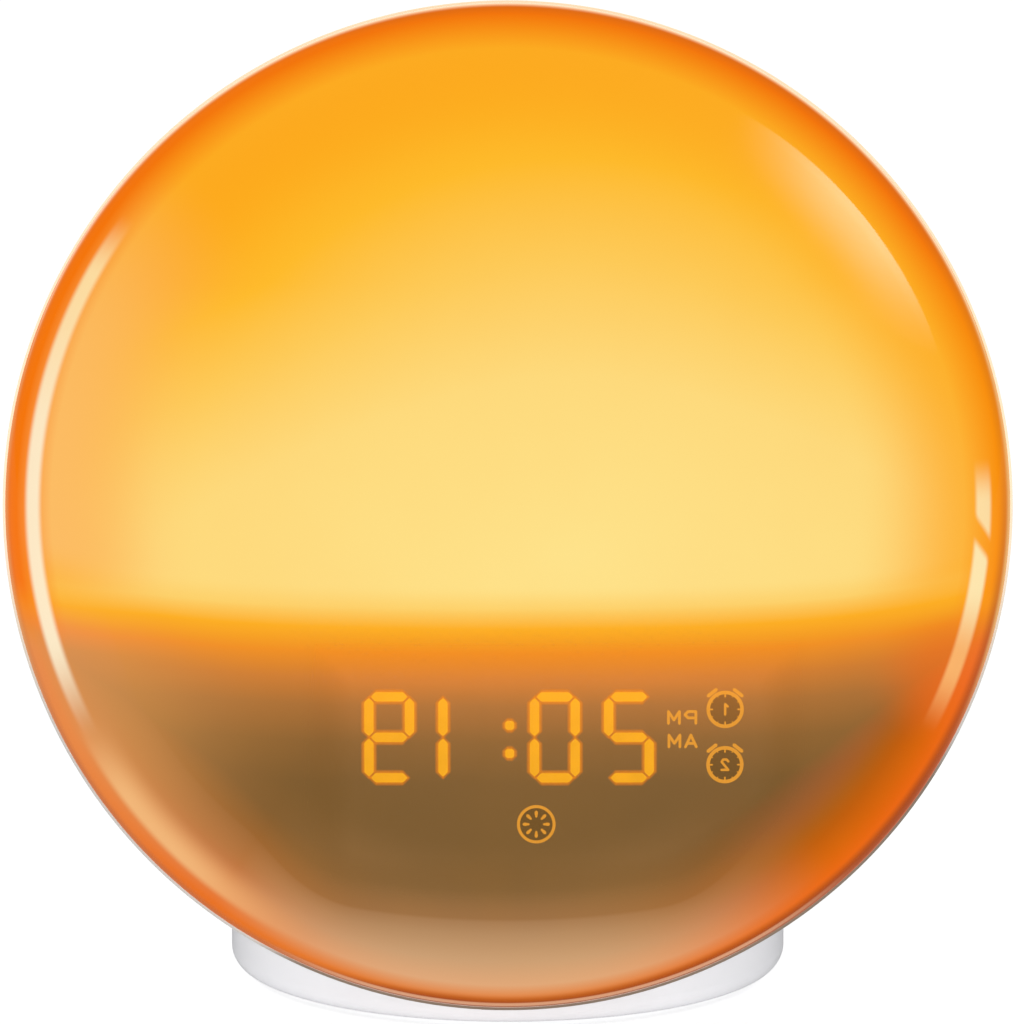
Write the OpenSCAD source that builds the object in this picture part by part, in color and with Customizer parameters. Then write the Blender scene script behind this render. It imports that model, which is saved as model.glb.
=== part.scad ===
// Sunrise alarm clock: a round lamp and clock head, leaning back in a round foot.
// Frame: X to the right, Y towards the back, Z up, origin on the table under the middle of the clock.
// Head parts are drawn in the head's own frame: x to the right, y = depth behind the rim plane,
// z = height above the middle of the face. head() stands them up in the clock.

/* [Face] */
// Outer diameter of the front lens
face_d = 176; // [150:1:200]
// Angle that the face leans back
face_tilt = 10; // [4:0.5:14]
// Radius of the rolled edge of the lens
edge_r = 12; // [9:0.5:15]
// Slope of the dome where it meets the rolled edge
dome_slope = 15.5; // [12:0.5:19]
// Wall of the lens
lens_wall = 2.2; // [1.6:0.1:2.8]
// Straight skirt behind the rolled edge
lens_skirt = 3; // [2.4:0.2:5]
// How far the trim ring stands out past the lens
ring_proud = 0.8; // [0.4:0.1:1.4]
// Thickness of the trim ring between lens and shell
ring_t = 2.6; // [2:0.2:4]

/* [Rear shell] */
// Depth of the head from rim plane to back
shell_depth = 52; // [50:1:60]
// Wall of the rear shell
shell_wall = 2.4; // [2:0.1:3]
// Diameter of the flat middle of the back
back_flat_d = 88; // [86:1:92]
// Step in from the lens edge to the shell
shell_step = 4; // [3:0.5:5]
// Distance of the case screws from the middle
case_screw_at = 38; // [37:0.5:41]

/* [Foot] */
// Diameter of the foot
foot_d = 101; // [96:1:112]
// Height of the foot's deck above the table
foot_h = 20; // [18:0.5:24]
// Distance of the foot's middle behind the middle of the rim
foot_back = 42; // [36:0.5:46]
// Height of the lens edge above the table
rim_clear = 6; // [4:0.1:8]
// Rounding of the foot's lower edge
foot_edge = 3.5; // [2.5:0.5:6]
// Rounding of the deck's edge
deck_edge = 5; // [4:0.5:8]
// Wall of the foot
foot_wall = 2.4; // [2:0.1:3]
// Thickness of the bottom plate
plate_t = 2; // [1.6:0.1:2.2]
// Height of the rubber feet
rubber_h = 1; // [0.6:0.1:2]
// Diameter of a rubber foot
rubber_d = 12; // [8:0.5:14]
// Distance of the rubber feet from the foot's middle
rubber_at = 37; // [34:0.5:38]
// Thickness of the steel ballast
ballast_t = 6; // [3:0.5:8]

/* [Lamp] */
// Drop of the light shelf below the middle of the face
shelf_drop = 19.5; // [16:0.5:22]
// Wall of the light tray
tray_wall = 1.6; // [1.2:0.1:2.2]
// Gap between the light tray and the inside of the lens
shelf_gap = 0.8; // [0.4:0.1:1.5]
// Thickness of the diffuser sheet
sheet_t = 1.2; // [0.8:0.1:2]
// Width of the lamp board
lamp_w = 96; // [80:1:104]
// Height of the lamp board
lamp_h = 56; // [50:1:60]
// Side of one lamp LED
lamp_led = 3; // [2:0.1:3.6]

/* [Display] */
// Drop of the middle of the digits below the middle of the face
digit_drop = 40; // [38.5:0.5:42]
// Height of a digit
digit_h = 15.5; // [13:0.5:17]
// Width of a digit
digit_w = 9.1; // [8:0.1:10]
// Distance between neighbouring digits
digit_pitch = 12.8; // [12:0.1:13.4]
// Distance from the colon to the digits next to it
colon_at = 7.9; // [7.6:0.1:8.6]
// Width of one segment
segment_w = 1.75; // [1.3:0.05:2]
// The layout runs from right to left, as in a mirror
reversed = true; // [true, false]

/* [Keys] */
// Length of a side key
key_l = 10; // [8:0.5:11]
// Width of a side key
key_w = 6; // [5:0.5:7]
// Distance between side keys
key_pitch = 14; // [13.6:0.2:16]
// How far a key stands out of the shell
key_proud = 0.9; // [0.7:0.1:1.6]
// Travel of a key
key_travel = 0.5; // [0.2:0.05:0.5]
// Length of the snooze key
snooze_l = 36; // [28:1:40]
// Width of the snooze key
snooze_w = 7; // [6:0.5:7.5]

/* [Speaker and grille] */
// Diameter of the loudspeaker
speaker_d = 39; // [36:0.5:40]
// Height of the loudspeaker above the middle
speaker_up = 17; // [16:0.5:18]
// Diameter of a grille hole
grille_hole_d = 1.8; // [1:0.1:2.4]
// Distance between grille holes
grille_pitch = 3.4; // [3:0.1:4.5]

/* [Coin cell] */
// Diameter of the coin cell
cell_d = 20; // [16:0.5:21]
// Thickness of the coin cell
cell_t = 3.2; // [1.6:0.1:3.6]
// Drop of the cell below the middle
cell_drop = 20; // [19.5:0.5:21]
// Diameter of the battery cap
cap_d = 25.6; // [25:0.1:26]

/* [Hidden] */
round_fn = 128;
peg_fn = 48;
fit = 0.2;                       // clearance between pieces that seat in each other
slip = 0.25;                     // clearance round pieces that move

white = "whitesmoke";
amber = "orange";
steel = "silver";
board_green = "seagreen";

// Face and lens
face_r = face_d / 2;
seam_r = face_r - edge_r + edge_r * sin(dome_slope);   // where the dome meets the rolled edge
dome_r = seam_r / sin(dome_slope);
dome_mid = dome_r * cos(dome_slope) - edge_r * cos(dome_slope);
dome_front = dome_mid - dome_r;

// Trim ring and shell
ring_r = face_r + ring_proud;
ring_back = lens_skirt + ring_t;
shell_r = face_r - shell_step;
shell_in_r = shell_r - shell_wall;
corner_clear = 3;                                      // straight wall between ring and corner, at least
back_corner_r = min(shell_r - back_flat_d / 2, shell_depth - ring_back - corner_clear);
back_flat_r = shell_r - back_corner_r;
back_mid = shell_depth - back_corner_r;                // depth of the corner's middle
back_in = shell_depth - shell_wall;
spigot_t = 2;
spigot_l = 2.4;

// Places along the depth
chassis_t = 2;
chassis_near = ring_back + spigot_l;
chassis_far = chassis_near + chassis_t;
chassis_r = shell_in_r - fit;
ring_in_r = chassis_r - spigot_t;                      // inside of the trim ring
tray_floor_t = 1.6;
tray_near = chassis_near - tray_floor_t;
board_t = 1.6;
main_near = chassis_far + 6;
main_far = main_near + board_t;

// Foot and head in the clock
head_z = face_r * cos(face_tilt) + rim_clear;
front_most = dome_mid * cos(face_tilt) - dome_r;       // foremost point of the dome, from the rim's middle
rear_most = foot_back + foot_d / 2;
head_y = -(front_most + rear_most) / 2;
foot_y = head_y + foot_back;
foot_r = foot_d / 2;
plate_top = rubber_h + plate_t;
cradle_gap = 0.3;

// ---------- shared shapes ----------

module head() {
    translate([0, head_y, head_z]) rotate([-face_tilt, 0, 0]) children();
}

// Undoes head(), for upright features on head parts
module upright() {
    rotate([face_tilt, 0, 0]) translate([0, -head_y, -head_z]) children();
}

// Turns a profile of (radius, depth) about the head's axis
module turned() {
    rotate([-90, 0, 0]) rotate_extrude($fn = round_fn) children();
}

// A plate in the face's plane, between two depths
module slab(near, far) {
    translate([0, far, 0]) rotate([90, 0, 0]) linear_extrude(far - near) children();
}

// A round peg along the depth
module peg(x, z, near, far, r) {
    translate([x, near, z]) rotate([-90, 0, 0]) cylinder(h = far - near, r = r, $fn = peg_fn);
}

module box(low, high) {
    translate(low) cube(high - low);
}

module pill(l, w) {
    square([l - w, w], center = true);
    for (s = [-1, 1]) translate([s * (l - w) / 2, 0]) circle(d = w, $fn = peg_fn);
}

module rounded(w, h, r) {
    square([w - 2 * r, h], center = true);
    square([w, h - 2 * r], center = true);
    for (sx = [-1, 1], sy = [-1, 1])
        translate([sx * (w / 2 - r), sy * (h / 2 - r)]) circle(r = r, $fn = peg_fn);
}

// A disc cut off below a line
module dee(r, low) {
    intersection() {
        circle(r = r, $fn = round_fn);
        translate([-r, low]) square([2 * r, r - low]);
    }
}

// Profile of the lens's outside, moved in by inset, closed at depth far
module dome_profile(inset, far) {
    cap_r = face_r - edge_r + (edge_r - inset) * sin(dome_slope);
    intersection() {
        translate([0, dome_mid]) circle(r = dome_r - inset, $fn = 720);
        translate([0, dome_front - 5]) square([cap_r, 5 - dome_front]);
    }
    intersection() {
        translate([face_r - edge_r, 0]) circle(r = edge_r - inset, $fn = 180);
        translate([face_r - 2 * edge_r, -edge_r + inset]) square([2 * edge_r - inset, edge_r - inset]);
    }
    square([face_r - inset, far]);
}

// Profile of the rear shell's outside, moved in by inset, from depth near
module shell_profile(inset, near) {
    translate([0, near]) square([shell_r - inset, back_mid - near]);
    translate([0, near]) square([back_flat_r, shell_depth - inset - near]);
    intersection() {
        translate([back_flat_r, back_mid]) circle(r = back_corner_r - inset, $fn = 240);
        translate([back_flat_r, back_mid - 0.01]) square(back_corner_r);
    }
}

// Everything outside the head, grown by grow, for what has to clear it
module head_envelope(grow) {
    head() turned() {
        dome_profile(-grow - ring_proud, ring_back + grow);
        shell_profile(-grow, 0);
    }
}

// Profile of the foot's outside, moved in by inset; the inner one is open below
module foot_profile(inset) {
    low = rubber_h;
    r = foot_r - inset;
    top = foot_h - inset;
    translate([0, low + foot_edge]) square([r, top - deck_edge + inset - low - foot_edge]);
    translate([0, inset > 0 ? low - 1 : low])
        square([foot_r - foot_edge, foot_edge + 0.01 + (inset > 0 ? 1 : 0)]);
    translate([0, low + foot_edge]) square([foot_r - deck_edge, top - low - foot_edge]);
    translate([foot_r - foot_edge, low + foot_edge]) circle(r = foot_edge - inset, $fn = 96);
    translate([foot_r - deck_edge, foot_h - deck_edge]) circle(r = deck_edge - inset, $fn = 96);
}

module screw(head_r, head_t, r, l) {
    cylinder(h = head_t, r = head_r, $fn = 32);
    translate([0, 0, head_t]) cylinder(h = l, r = r, $fn = 32);
}

// A screw along the depth, its head's outer face at depth d; way is 1 to the back, -1 to the front
module depth_screw(d, way, head_r, head_t, r, l) {
    translate([0, d, 0]) rotate([way > 0 ? -90 : 90, 0, 0]) difference() {
        screw(head_r, head_t, r, l);
        for (a = [0, 90]) rotate(a) translate([-head_r * 0.6, -0.3, -0.1]) cube([head_r * 1.2, 0.6, 0.8]);
    }
}

// A round lead swept along points: rings of sides points, each square to the run
module lead(points, r, sides = 8) {
    n = len(points);
    function run(i) = points[min(i + 1, n - 1)] - points[max(i - 1, 0)];
    function unit(v) = v / norm(v);
    function across(i) = unit(cross(run(i), [0.31, 0.17, 0.93]));
    function over(i) = unit(cross(run(i), across(i)));
    rings = [for (i = [0:n - 1], k = [0:sides - 1])
        points[i] + r * (cos(360 * k / sides) * across(i) + sin(360 * k / sides) * over(i))];
    walls = [for (i = [0:n - 2], k = [0:sides - 1])
        let (a = i * sides + k, b = i * sides + (k + 1) % sides) [a, b, b + sides, a + sides]];
    near_end = [for (k = [sides - 1:-1:0]) k];
    far_end = [for (k = [0:sides - 1]) (n - 1) * sides + k];
    polyhedron(points = rings, faces = concat(walls, [near_end], [far_end]), convexity = 4);
}

function bezier(a, b, c, d, steps) = [for (i = [0:steps]) let (t = i / steps, s = 1 - t)
    s * s * s * a + 3 * s * s * t * b + 3 * s * t * t * c + t * t * t * d];

// ---------- front: lens, ring, lamp ----------

module front_lens() {
    color(amber) head() difference() {
        turned() dome_profile(0, lens_skirt);
        turned() dome_profile(lens_wall, lens_skirt + 1);
    }
}

// Flange between lens and shell, with a bead outside and a spigot into each
module trim_ring() {
    bead_r = ring_t / 2;
    color(steel) head() turned() {
        translate([ring_in_r, lens_skirt]) square([ring_r - bead_r - ring_in_r, ring_t]);
        translate([ring_r - bead_r, lens_skirt + bead_r]) circle(r = bead_r, $fn = 48);
        translate([ring_in_r, ring_back - 0.01]) square([spigot_t, spigot_l + 0.01]);
        translate([face_r - lens_wall - fit - spigot_t, lens_skirt - 2]) square([spigot_t, 2.01]);
    }
}

tray_r = face_r - edge_r - 0.5;
shelf_z = -shelf_drop;
sheet_far = -2;

module light_tray() {
    inner_low = shelf_z + tray_wall;
    color(white) head() {
        intersection() {
            slab(dome_front, tray_near + 0.01) difference() {
                dee(tray_r, shelf_z);
                dee(tray_r - tray_wall, inner_low);
            }
            turned() dome_profile(lens_wall + shelf_gap, tray_near + 1);
        }
        difference() {
            slab(tray_near, chassis_near) dee(tray_r, shelf_z);
            lead_hole();
        }
        slab(sheet_far, tray_near + 0.01) difference() {
            dee(tray_r - tray_wall + 0.01, inner_low - 0.01);
            dee(tray_r - tray_wall - 1.5, inner_low + 1.5);
        }
    }
}

module diffuser_sheet() {
    color("white") head() slab(sheet_far - sheet_t, sheet_far)
        dee(tray_r - tray_wall - fit, shelf_z + tray_wall + fit);
}

lamp_z = shelf_z + tray_wall + 2 + lamp_h / 2;
lamp_near = tray_near - board_t;
lamp_led_t = 0.9;
lead_hole_x = -lamp_w / 2 + 8;
lead_hole_z = lamp_z - lamp_h / 2 + 8;

module lead_hole() {
    peg(lead_hole_x, lead_hole_z, lamp_near - 1, chassis_far + 1, 2.6);
}

module lamp_board() {
    color("gainsboro") head() difference() {
        slab(lamp_near, tray_near) translate([0, lamp_z]) rounded(lamp_w, lamp_h, 4);
        lead_hole();
        for (sx = [-1, 1])
            peg(sx * (lamp_w / 2 - 5), lamp_z + lamp_h / 2 - 5, lamp_near - 1, tray_near + 1, 1.2);
    }
}

lamp_columns = 6;
lamp_rows = 4;
function lamp_x(i) = (i - (lamp_columns - 1) / 2) * (lamp_w - 20) / (lamp_columns - 1);
function lamp_row_z(j) = lamp_z + (j - (lamp_rows - 1) / 2) * (lamp_h - 22) / (lamp_rows - 1);

module lamp_chips(even) {
    head() for (i = [0:lamp_columns - 1], j = [0:lamp_rows - 1])
        if ((i + j) % 2 == even)
            translate([lamp_x(i), 0, lamp_row_z(j)])
                slab(lamp_near - lamp_led_t, lamp_near) square(lamp_led, center = true);
}

module warm_leds() { color("khaki") lamp_chips(0); }

module colour_leds() { color("tomato") lamp_chips(1); }

// Two leads from the main board, through the chassis and the tray, to the lamp board
module lamp_leads() {
    color("firebrick") head() for (s = [-1, 1]) {
        x = lead_hole_x + s;
        lead(bezier([x, lamp_near - 0.3, lead_hole_z - 4], [x, lamp_near - 5, lead_hole_z - 2],
                    [x, lamp_near, lead_hole_z], [x, chassis_near, lead_hole_z], 9), 0.6);
        lead([[x, chassis_near, lead_hole_z], [x, main_near, lead_hole_z]], 0.6);
    }
}

// ---------- display ----------

display_z = -digit_drop;
block_near = -9;
block_far = 2;
board_near = block_far;
board_far = board_near + board_t;
segment_gap = 0.35;
mask_t = 0.5;
guide_depth = block_near + 2;          // how far the guides reach into the block
legend_h = 2.4;
legend_w = 2.1;
legend_stroke = 0.42;
icon_r = 3.3;
icon_x = -37.4;
word_x = -29.9;
sun_x = -4.9;
sun_down = 15.1;
pm_up = 3.4;
am_up = -0.9;
alarm_up = [4.9, -4.7];

// Which of the segments a to g are lit, for the digits 0, 1, 2 and 9
function lit_segments(digit) =
    digit == 0 ? [0, 1, 2, 3, 4, 5] :
    digit == 1 ? [1, 2] :
    digit == 2 ? [0, 1, 6, 4, 3] :
    [0, 1, 2, 3, 5, 6];
shown = [2, 0, 1, 9];
function digit_x(i) = (i < 2 ? -1 : 1) * (colon_at + (i == 0 || i == 3 ? digit_pitch : 0));

// Lays out the display as it reads, or from right to left
module display_layout() {
    translate([0, display_z]) {
        if (reversed) mirror([1, 0]) children();
        else children();
    }
}

module bar(l, w) {
    polygon([[-l / 2, 0], [(w - l) / 2, w / 2], [(l - w) / 2, w / 2],
             [l / 2, 0], [(l - w) / 2, -w / 2], [(w - l) / 2, -w / 2]]);
}

// One segment of a digit: 0 to 6 are a to g
module segment(k, grow) {
    w = segment_w + 2 * grow;
    across = digit_w - segment_w - segment_gap + 2 * grow;
    up = (digit_h - segment_w) / 2 - segment_gap + 2 * grow;
    side = (digit_w - segment_w) / 2;
    rise = (digit_h - segment_w) / 2;
    if (k == 0) translate([0, rise]) bar(across, w);
    if (k == 1) translate([side, rise / 2]) rotate(90) bar(up, w);
    if (k == 2) translate([side, -rise / 2]) rotate(90) bar(up, w);
    if (k == 3) translate([0, -rise]) bar(across, w);
    if (k == 4) translate([-side, -rise / 2]) rotate(90) bar(up, w);
    if (k == 5) translate([-side, rise / 2]) rotate(90) bar(up, w);
    if (k == 6) bar(across, w);
}

module digits(on, grow) {
    for (i = [0:3], k = [0:6])
        if (on == (len(search(k, lit_segments(shown[i]))) > 0))
            translate([digit_x(i), 0]) segment(k, grow);
}

module colon(grow) {
    for (s = [-1, 1]) translate([0, s * digit_h / 6]) square(2 + 2 * grow, center = true);
}

module stroke(a, b, w) {
    translate(a) rotate(atan2(b[1] - a[1], b[0] - a[0]))
        translate([-w / 2, -w / 2]) square([norm(b - a) + w, w]);
}

module strokes(points, w) {
    for (i = [0:len(points) - 2]) stroke(points[i], points[i + 1], w);
}

module letter_m(w) {
    strokes([[0, 0], [0, legend_h], [legend_w / 2, legend_h * 0.3], [legend_w, legend_h], [legend_w, 0]], w);
}

module letter_a(w) {
    strokes([[0, 0], [legend_w / 2, legend_h], [legend_w, 0]], w);
    stroke([legend_w * 0.22, legend_h * 0.3], [legend_w * 0.78, legend_h * 0.3], w);
}

module letter_p(w) {
    bowl = legend_h * 0.28;
    strokes([[0, 0], [0, legend_h], [legend_w - bowl, legend_h], [legend_w, legend_h - bowl],
             [legend_w - bowl, legend_h - 2 * bowl], [0, legend_h - 2 * bowl]], w);
}

// Windows round the legends
module legend_windows() {
    translate([word_x, (pm_up + am_up) / 2])
        square([2 * legend_w + 2.6, pm_up - am_up + legend_h + 1.5], center = true);
    for (up = alarm_up) translate([icon_x, up]) circle(r = icon_r + 1, $fn = peg_fn);
    translate([sun_x, -sun_down]) circle(r = icon_r + 0.4, $fn = peg_fn);
}

module word(first) {
    step = legend_w + 0.9;
    translate([-step / 2 - legend_w / 2, -legend_h / 2]) {
        if (first == "P") letter_p(legend_stroke);
        else letter_a(legend_stroke);
        translate([step, 0]) letter_m(legend_stroke);
    }
}

// Alarm clock sign: a ring with two bells, four ticks and its number
module alarm_sign(number) {
    w = legend_stroke;
    difference() {
        circle(r = icon_r, $fn = peg_fn);
        circle(r = icon_r - 0.5, $fn = peg_fn);
    }
    for (a = [0:90:270]) rotate(a) stroke([icon_r - 1.3, 0], [icon_r - 0.6, 0], w);
    for (s = [-1, 1]) rotate(s * 42) stroke([-1.1, icon_r + 0.5], [1.1, icon_r + 0.5], w);
    if (number == 1) strokes([[-0.5, 0.6], [0, 1.1], [0, -1.1]], w);
    else strokes([[-0.7, 0.7], [-0.3, 1.1], [0.4, 1.1], [0.7, 0.6], [-0.7, -1.1], [0.7, -1.1]], w);
}

// Sun sign: a ring round eight rays
module sun_sign() {
    difference() {
        circle(r = icon_r, $fn = peg_fn);
        circle(r = icon_r - 0.45, $fn = peg_fn);
    }
    for (a = [0:45:315]) rotate(a) stroke([1.3, 0], [2.1, 0], legend_stroke);
}

// Depth of the inside of the dome at a distance from the head's axis
function dome_in(r) = dome_mid - sqrt(pow(dome_r - lens_wall - fit, 2) - r * r);
// Depth where a flat-ended guide meets the dome: x, height above the display's middle, reach round it
function legend_near(x, up, reach) = dome_in(norm([x, display_z + up]) + reach);

// A legend as a light guide with a flat end
module legend_guide(x, up, reach) {
    slab(legend_near(x, up, reach), guide_depth) display_layout() translate([x, up]) children();
}

// Light guides run from the block to just behind the lens
module guides() {
    head() intersection() {
        slab(dome_front, guide_depth) display_layout() children();
        turned() dome_profile(lens_wall + fit, guide_depth + 1);
    }
}

module segments_lit() {
    color("gold") guides() {
        digits(true, 0);
        colon(0);
    }
}

module segments_dark() { color("dimgray") guides() digits(false, 0); }

module legend_guides() {
    color("gold") head() {
        legend_guide(word_x, pm_up, legend_w + 1) word("P");
        legend_guide(word_x, am_up, legend_w + 1) word("A");
        for (n = [1, 2]) legend_guide(icon_x, alarm_up[n - 1], icon_r + 0.8) alarm_sign(n);
        legend_guide(sun_x, -sun_down, icon_r) sun_sign();
    }
}

// Tinted film behind the lower part of the lens, with a window for each lit mark
module display_mask() {
    window = 0.12;
    low = shelf_z - 1;
    color("saddlebrown") head() difference() {
        intersection() {
            turned() difference() {
                dome_profile(lens_wall + fit, 1);
                dome_profile(lens_wall + fit + mask_t, 2);
            }
            box([-tray_r, dome_front, -tray_r], [tray_r, 0, low]);
            peg(0, 0, dome_front, 0, tray_r);
        }
        slab(dome_front - 1, 0) display_layout() {
            for (on = [true, false]) digits(on, window);
            colon(window);
            legend_windows();
        }
    }
}

block_left = icon_x - icon_r - 2.6;
block_right = colon_at + digit_pitch + digit_w / 2 + 2.5;
block_half_h = digit_h / 2 + 2;

module display_block() {
    pocket = 0.1;
    color(white) head() difference() {
        slab(block_near, block_far) display_layout() {
            translate([block_left, -block_half_h]) square([block_right - block_left, 2 * block_half_h]);
            translate([sun_x - icon_r - 1.5, -sun_down - icon_r - 1.5])
                square([2 * icon_r + 3, sun_down + icon_r + 1.5 - block_half_h + 0.01]);
        }
        slab(block_near - 1, block_far + 1) display_layout() {
            for (on = [true, false]) digits(on, pocket);
            colon(pocket);
            legend_windows();
        }
    }
}

display_board_w = block_right - block_left + 10;
display_board_h = 2 * block_half_h + 16;
display_board_x = (block_left + block_right) / 2;
display_board_down = 4.5;

board_clear = 1;                             // gap between the display board and the trim ring
display_post_r = 2.5;
display_post_in = 2.6;                       // distance of the posts from the board's edges

// The board's outline stays inside the trim ring
module display_board_outline() {
    intersection() {
        translate([display_board_x, -display_board_down]) rounded(display_board_w, display_board_h, 4);
        translate([0, -display_z]) circle(r = ring_in_r - board_clear, $fn = round_fn);
    }
}

// Height of a display post: near the board's corner, and inside the trim ring
function display_post_z(x, sz) = max(
    display_z - display_board_down + sz * (display_board_h / 2 - display_post_in),
    -sqrt(pow(ring_in_r - board_clear - display_post_in, 2) - x * x));

module at_display_posts() {
    for (sx = [-1, 1], sz = [-1, 1]) {
        x = display_board_x + sx * (display_board_w / 2 - display_post_in);
        translate([reversed ? -x : x, 0, display_post_z(x, sz)]) children();
    }
}

module display_board() {
    color(board_green) head() difference() {
        slab(board_near, board_far) display_layout() display_board_outline();
        at_display_posts() peg(0, 0, board_near - 1, board_far + 1, 1.1);
    }
}

module display_leds() {
    t = 0.7;
    color("khaki") head() slab(board_near - t, board_near) display_layout() {
        for (i = [0:3], k = [0:6]) translate([digit_x(i), 0]) intersection() {
            segment(k, 0);
            led_grid();
        }
        for (up = alarm_up) translate([icon_x, up]) square(1.2, center = true);
        for (up = [pm_up, am_up]) translate([word_x, up]) square(1.2, center = true);
        translate([sun_x, -sun_down]) square(1.2, center = true);
        for (s = [-1, 1]) translate([0, s * digit_h / 6]) square(1.2, center = true);
    }
}

// Squares at the middles of the seven segments
module led_grid() {
    side = (digit_w - segment_w) / 2;
    rise = (digit_h - segment_w) / 2;
    for (z = [-rise, 0, rise]) translate([0, z]) square(1.2, center = true);
    for (x = [-side, side], z = [-rise / 2, rise / 2]) translate([x, z]) square(1.2, center = true);
}

ribbon_w = 12;
ribbon_t = 0.4;
ribbon_x = 8;
ribbon_z = display_z + 4;
ribbon_far = main_far + 1.8;           // depth where the flat cables enter their plugs
key_ribbon_z = 0;

module ribbon_plug(size) { slab(main_far, ribbon_far + 0.7) square(size, center = true); }

// Flat cables from the display board, through the chassis, and from the key boards to the main board
module ribbons() {
    low = ribbon_x - ribbon_w / 2;
    color("lightgray") head() {
        box([low, board_far, ribbon_z], [low + ribbon_w, ribbon_far, ribbon_z + ribbon_t]);
        box([low, ribbon_far - ribbon_t, ribbon_z], [low + ribbon_w, ribbon_far, -main_h / 2]);
        for (s = [-1, 1])
            translate([s * (main_w / 2 + side_board) / 2, ribbon_far - ribbon_t / 2, key_ribbon_z])
                cube([side_board - main_w / 2, ribbon_t, ribbon_w], center = true);
        box([-ribbon_w / 2, ribbon_far - ribbon_t, main_h / 2], [ribbon_w / 2, ribbon_far, top_board]);
    }
}

// ---------- chassis and main board ----------

main_w = 112;
main_h = 44;
main_inset = 5;
plug_x = 42;
plug_z = 8;
cell_plug_drop = 8;
plug_top = main_far + 5;
lead_end = 0.2;                              // gap between a lead's end and its plug
post_r = 3.5;
pilot_r = 1.45;
case_at = case_screw_at * sin(45);
tower_near = back_in - 6;
key_rib_t = 2;

module at_case_screws() {
    for (sx = [-1, 1], sz = [-1, 1]) translate([sx * case_at, 0, sz * case_at]) children();
}

module at_main_corners() {
    for (sx = [-1, 1], sz = [-1, 1])
        translate([sx * (main_w / 2 - main_inset), 0, sz * (main_h / 2 - main_inset)]) children();
}

module chassis() {
    color("lightgray") head() difference() {
        union() {
            slab(chassis_near, chassis_far) circle(r = chassis_r, $fn = round_fn);
            at_case_screws() peg(0, 0, chassis_far - 0.01, tower_near, post_r);
            at_main_corners() peg(0, 0, chassis_far - 0.01, main_near, post_r - 0.5);
            at_display_posts() peg(0, 0, board_far, chassis_near + 0.01, display_post_r);
            for (s = [-1, 1]) key_rib(s);
            snooze_rib();
        }
        at_case_screws() peg(0, 0, tower_near - 12, tower_near + 1, pilot_r);
        at_main_corners() peg(0, 0, chassis_far, main_near + 1, 1.05);
        at_display_posts() peg(0, 0, board_far - 1, chassis_near + 1.2, 1.05);
        lead_hole();
        box([ribbon_x - ribbon_w / 2 - 1, chassis_near - 1, ribbon_z - 1.5],
            [ribbon_x + ribbon_w / 2 + 1, chassis_far + 1, ribbon_z + ribbon_t + 1.5]);
    }
}

module main_board() {
    color(board_green) head() difference() {
        slab(main_near, main_far) rounded(main_w, main_h, 3);
        at_main_corners() peg(0, 0, main_near - 1, main_far + 1, 1.1);
    }
}

// Controller, radio, amplifier and memory, with a body and legs each
module chip(x, z, w, h, t) {
    translate([x, 0, z]) {
        slab(main_far + 0.2, main_far + 0.2 + t) square([w, h], center = true);
        slab(main_far, main_far + 0.21) square([w + 1.6, h - 1], center = true);
    }
}

module main_chips() {
    color("dimgray") head() {
        chip(-14, 4, 10, 10, 1.6);
        chip(8, -10, 8, 5, 1.4);
        chip(32, 4, 9, 6, 1.6);
        chip(-32, -8, 6, 5, 1.4);
    }
}

// Capacitors, coil, crystal and plugs
module main_parts() {
    color("darkslategray") head() {
        for (p = [[24, 12, 4], [-28, 12, 3.2], [30, -12, 3.2], [-2, -12, 2.5]])
            peg(p[0], p[1], main_far, main_far + 7, p[2]);
        translate([18, 0, -2]) slab(main_far, main_far + 3.5) square([7, 7], center = true);
        translate([-2, 0, 12]) slab(main_far, main_far + 2.5) square([10, 4], center = true);
        for (p = [[plug_x, plug_z], [-plug_x, plug_z], [-plug_x, -cell_plug_drop]])
            translate([p[0], 0, p[1]]) slab(main_far, plug_top) square(6, center = true);
        translate([ribbon_x, 0, 2 - main_h / 2]) ribbon_plug([ribbon_w + 4, 4]);
        translate([0, 0, main_h / 2 - 2]) ribbon_plug([ribbon_w + 4, 4]);
        for (s = [-1, 1]) translate([s * (main_w / 2 - 2), 0, key_ribbon_z]) ribbon_plug([4, ribbon_w + 4]);
    }
}

// Small screws of the display board, main board and loudspeaker
module board_screws() {
    color(steel) head() {
        at_display_posts() depth_screw(board_near - 1.3, 1, 1.9, 1.3, 1, 6);
        at_main_corners() depth_screw(main_far + 1.3, -1, 1.9, 1.3, 1, 6);
        at_speaker_ears() depth_screw(basket_near - 1.3, 1, 1.9, 1.3, 1, ear_screw_l);
    }
}

// ---------- loudspeaker, facing the back ----------

speaker_r = speaker_d / 2;
gasket_t = 0.8;
flange_far = back_in - gasket_t;
flange_t = 1.2;
basket_near = flange_far - flange_t;
neck_d = 11;                                 // depth of the basket behind its flange
magnet_near = basket_near - neck_d - 6;
magnet_r = 12;
coil_r = 6.2;
lug_l = 5;                                   // terminal lug on the basket
cone_r = speaker_r - 3.6;
ear_reach = 3;
ear_screw_l = flange_t + gasket_t + 1;
ear_at = speaker_r + ear_reach;

module at_speaker() { head() translate([0, 0, speaker_up]) children(); }

module at_speaker_ears() {
    for (s = [-1, 1]) translate([s * ear_at, 0, speaker_up]) children();
}

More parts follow.
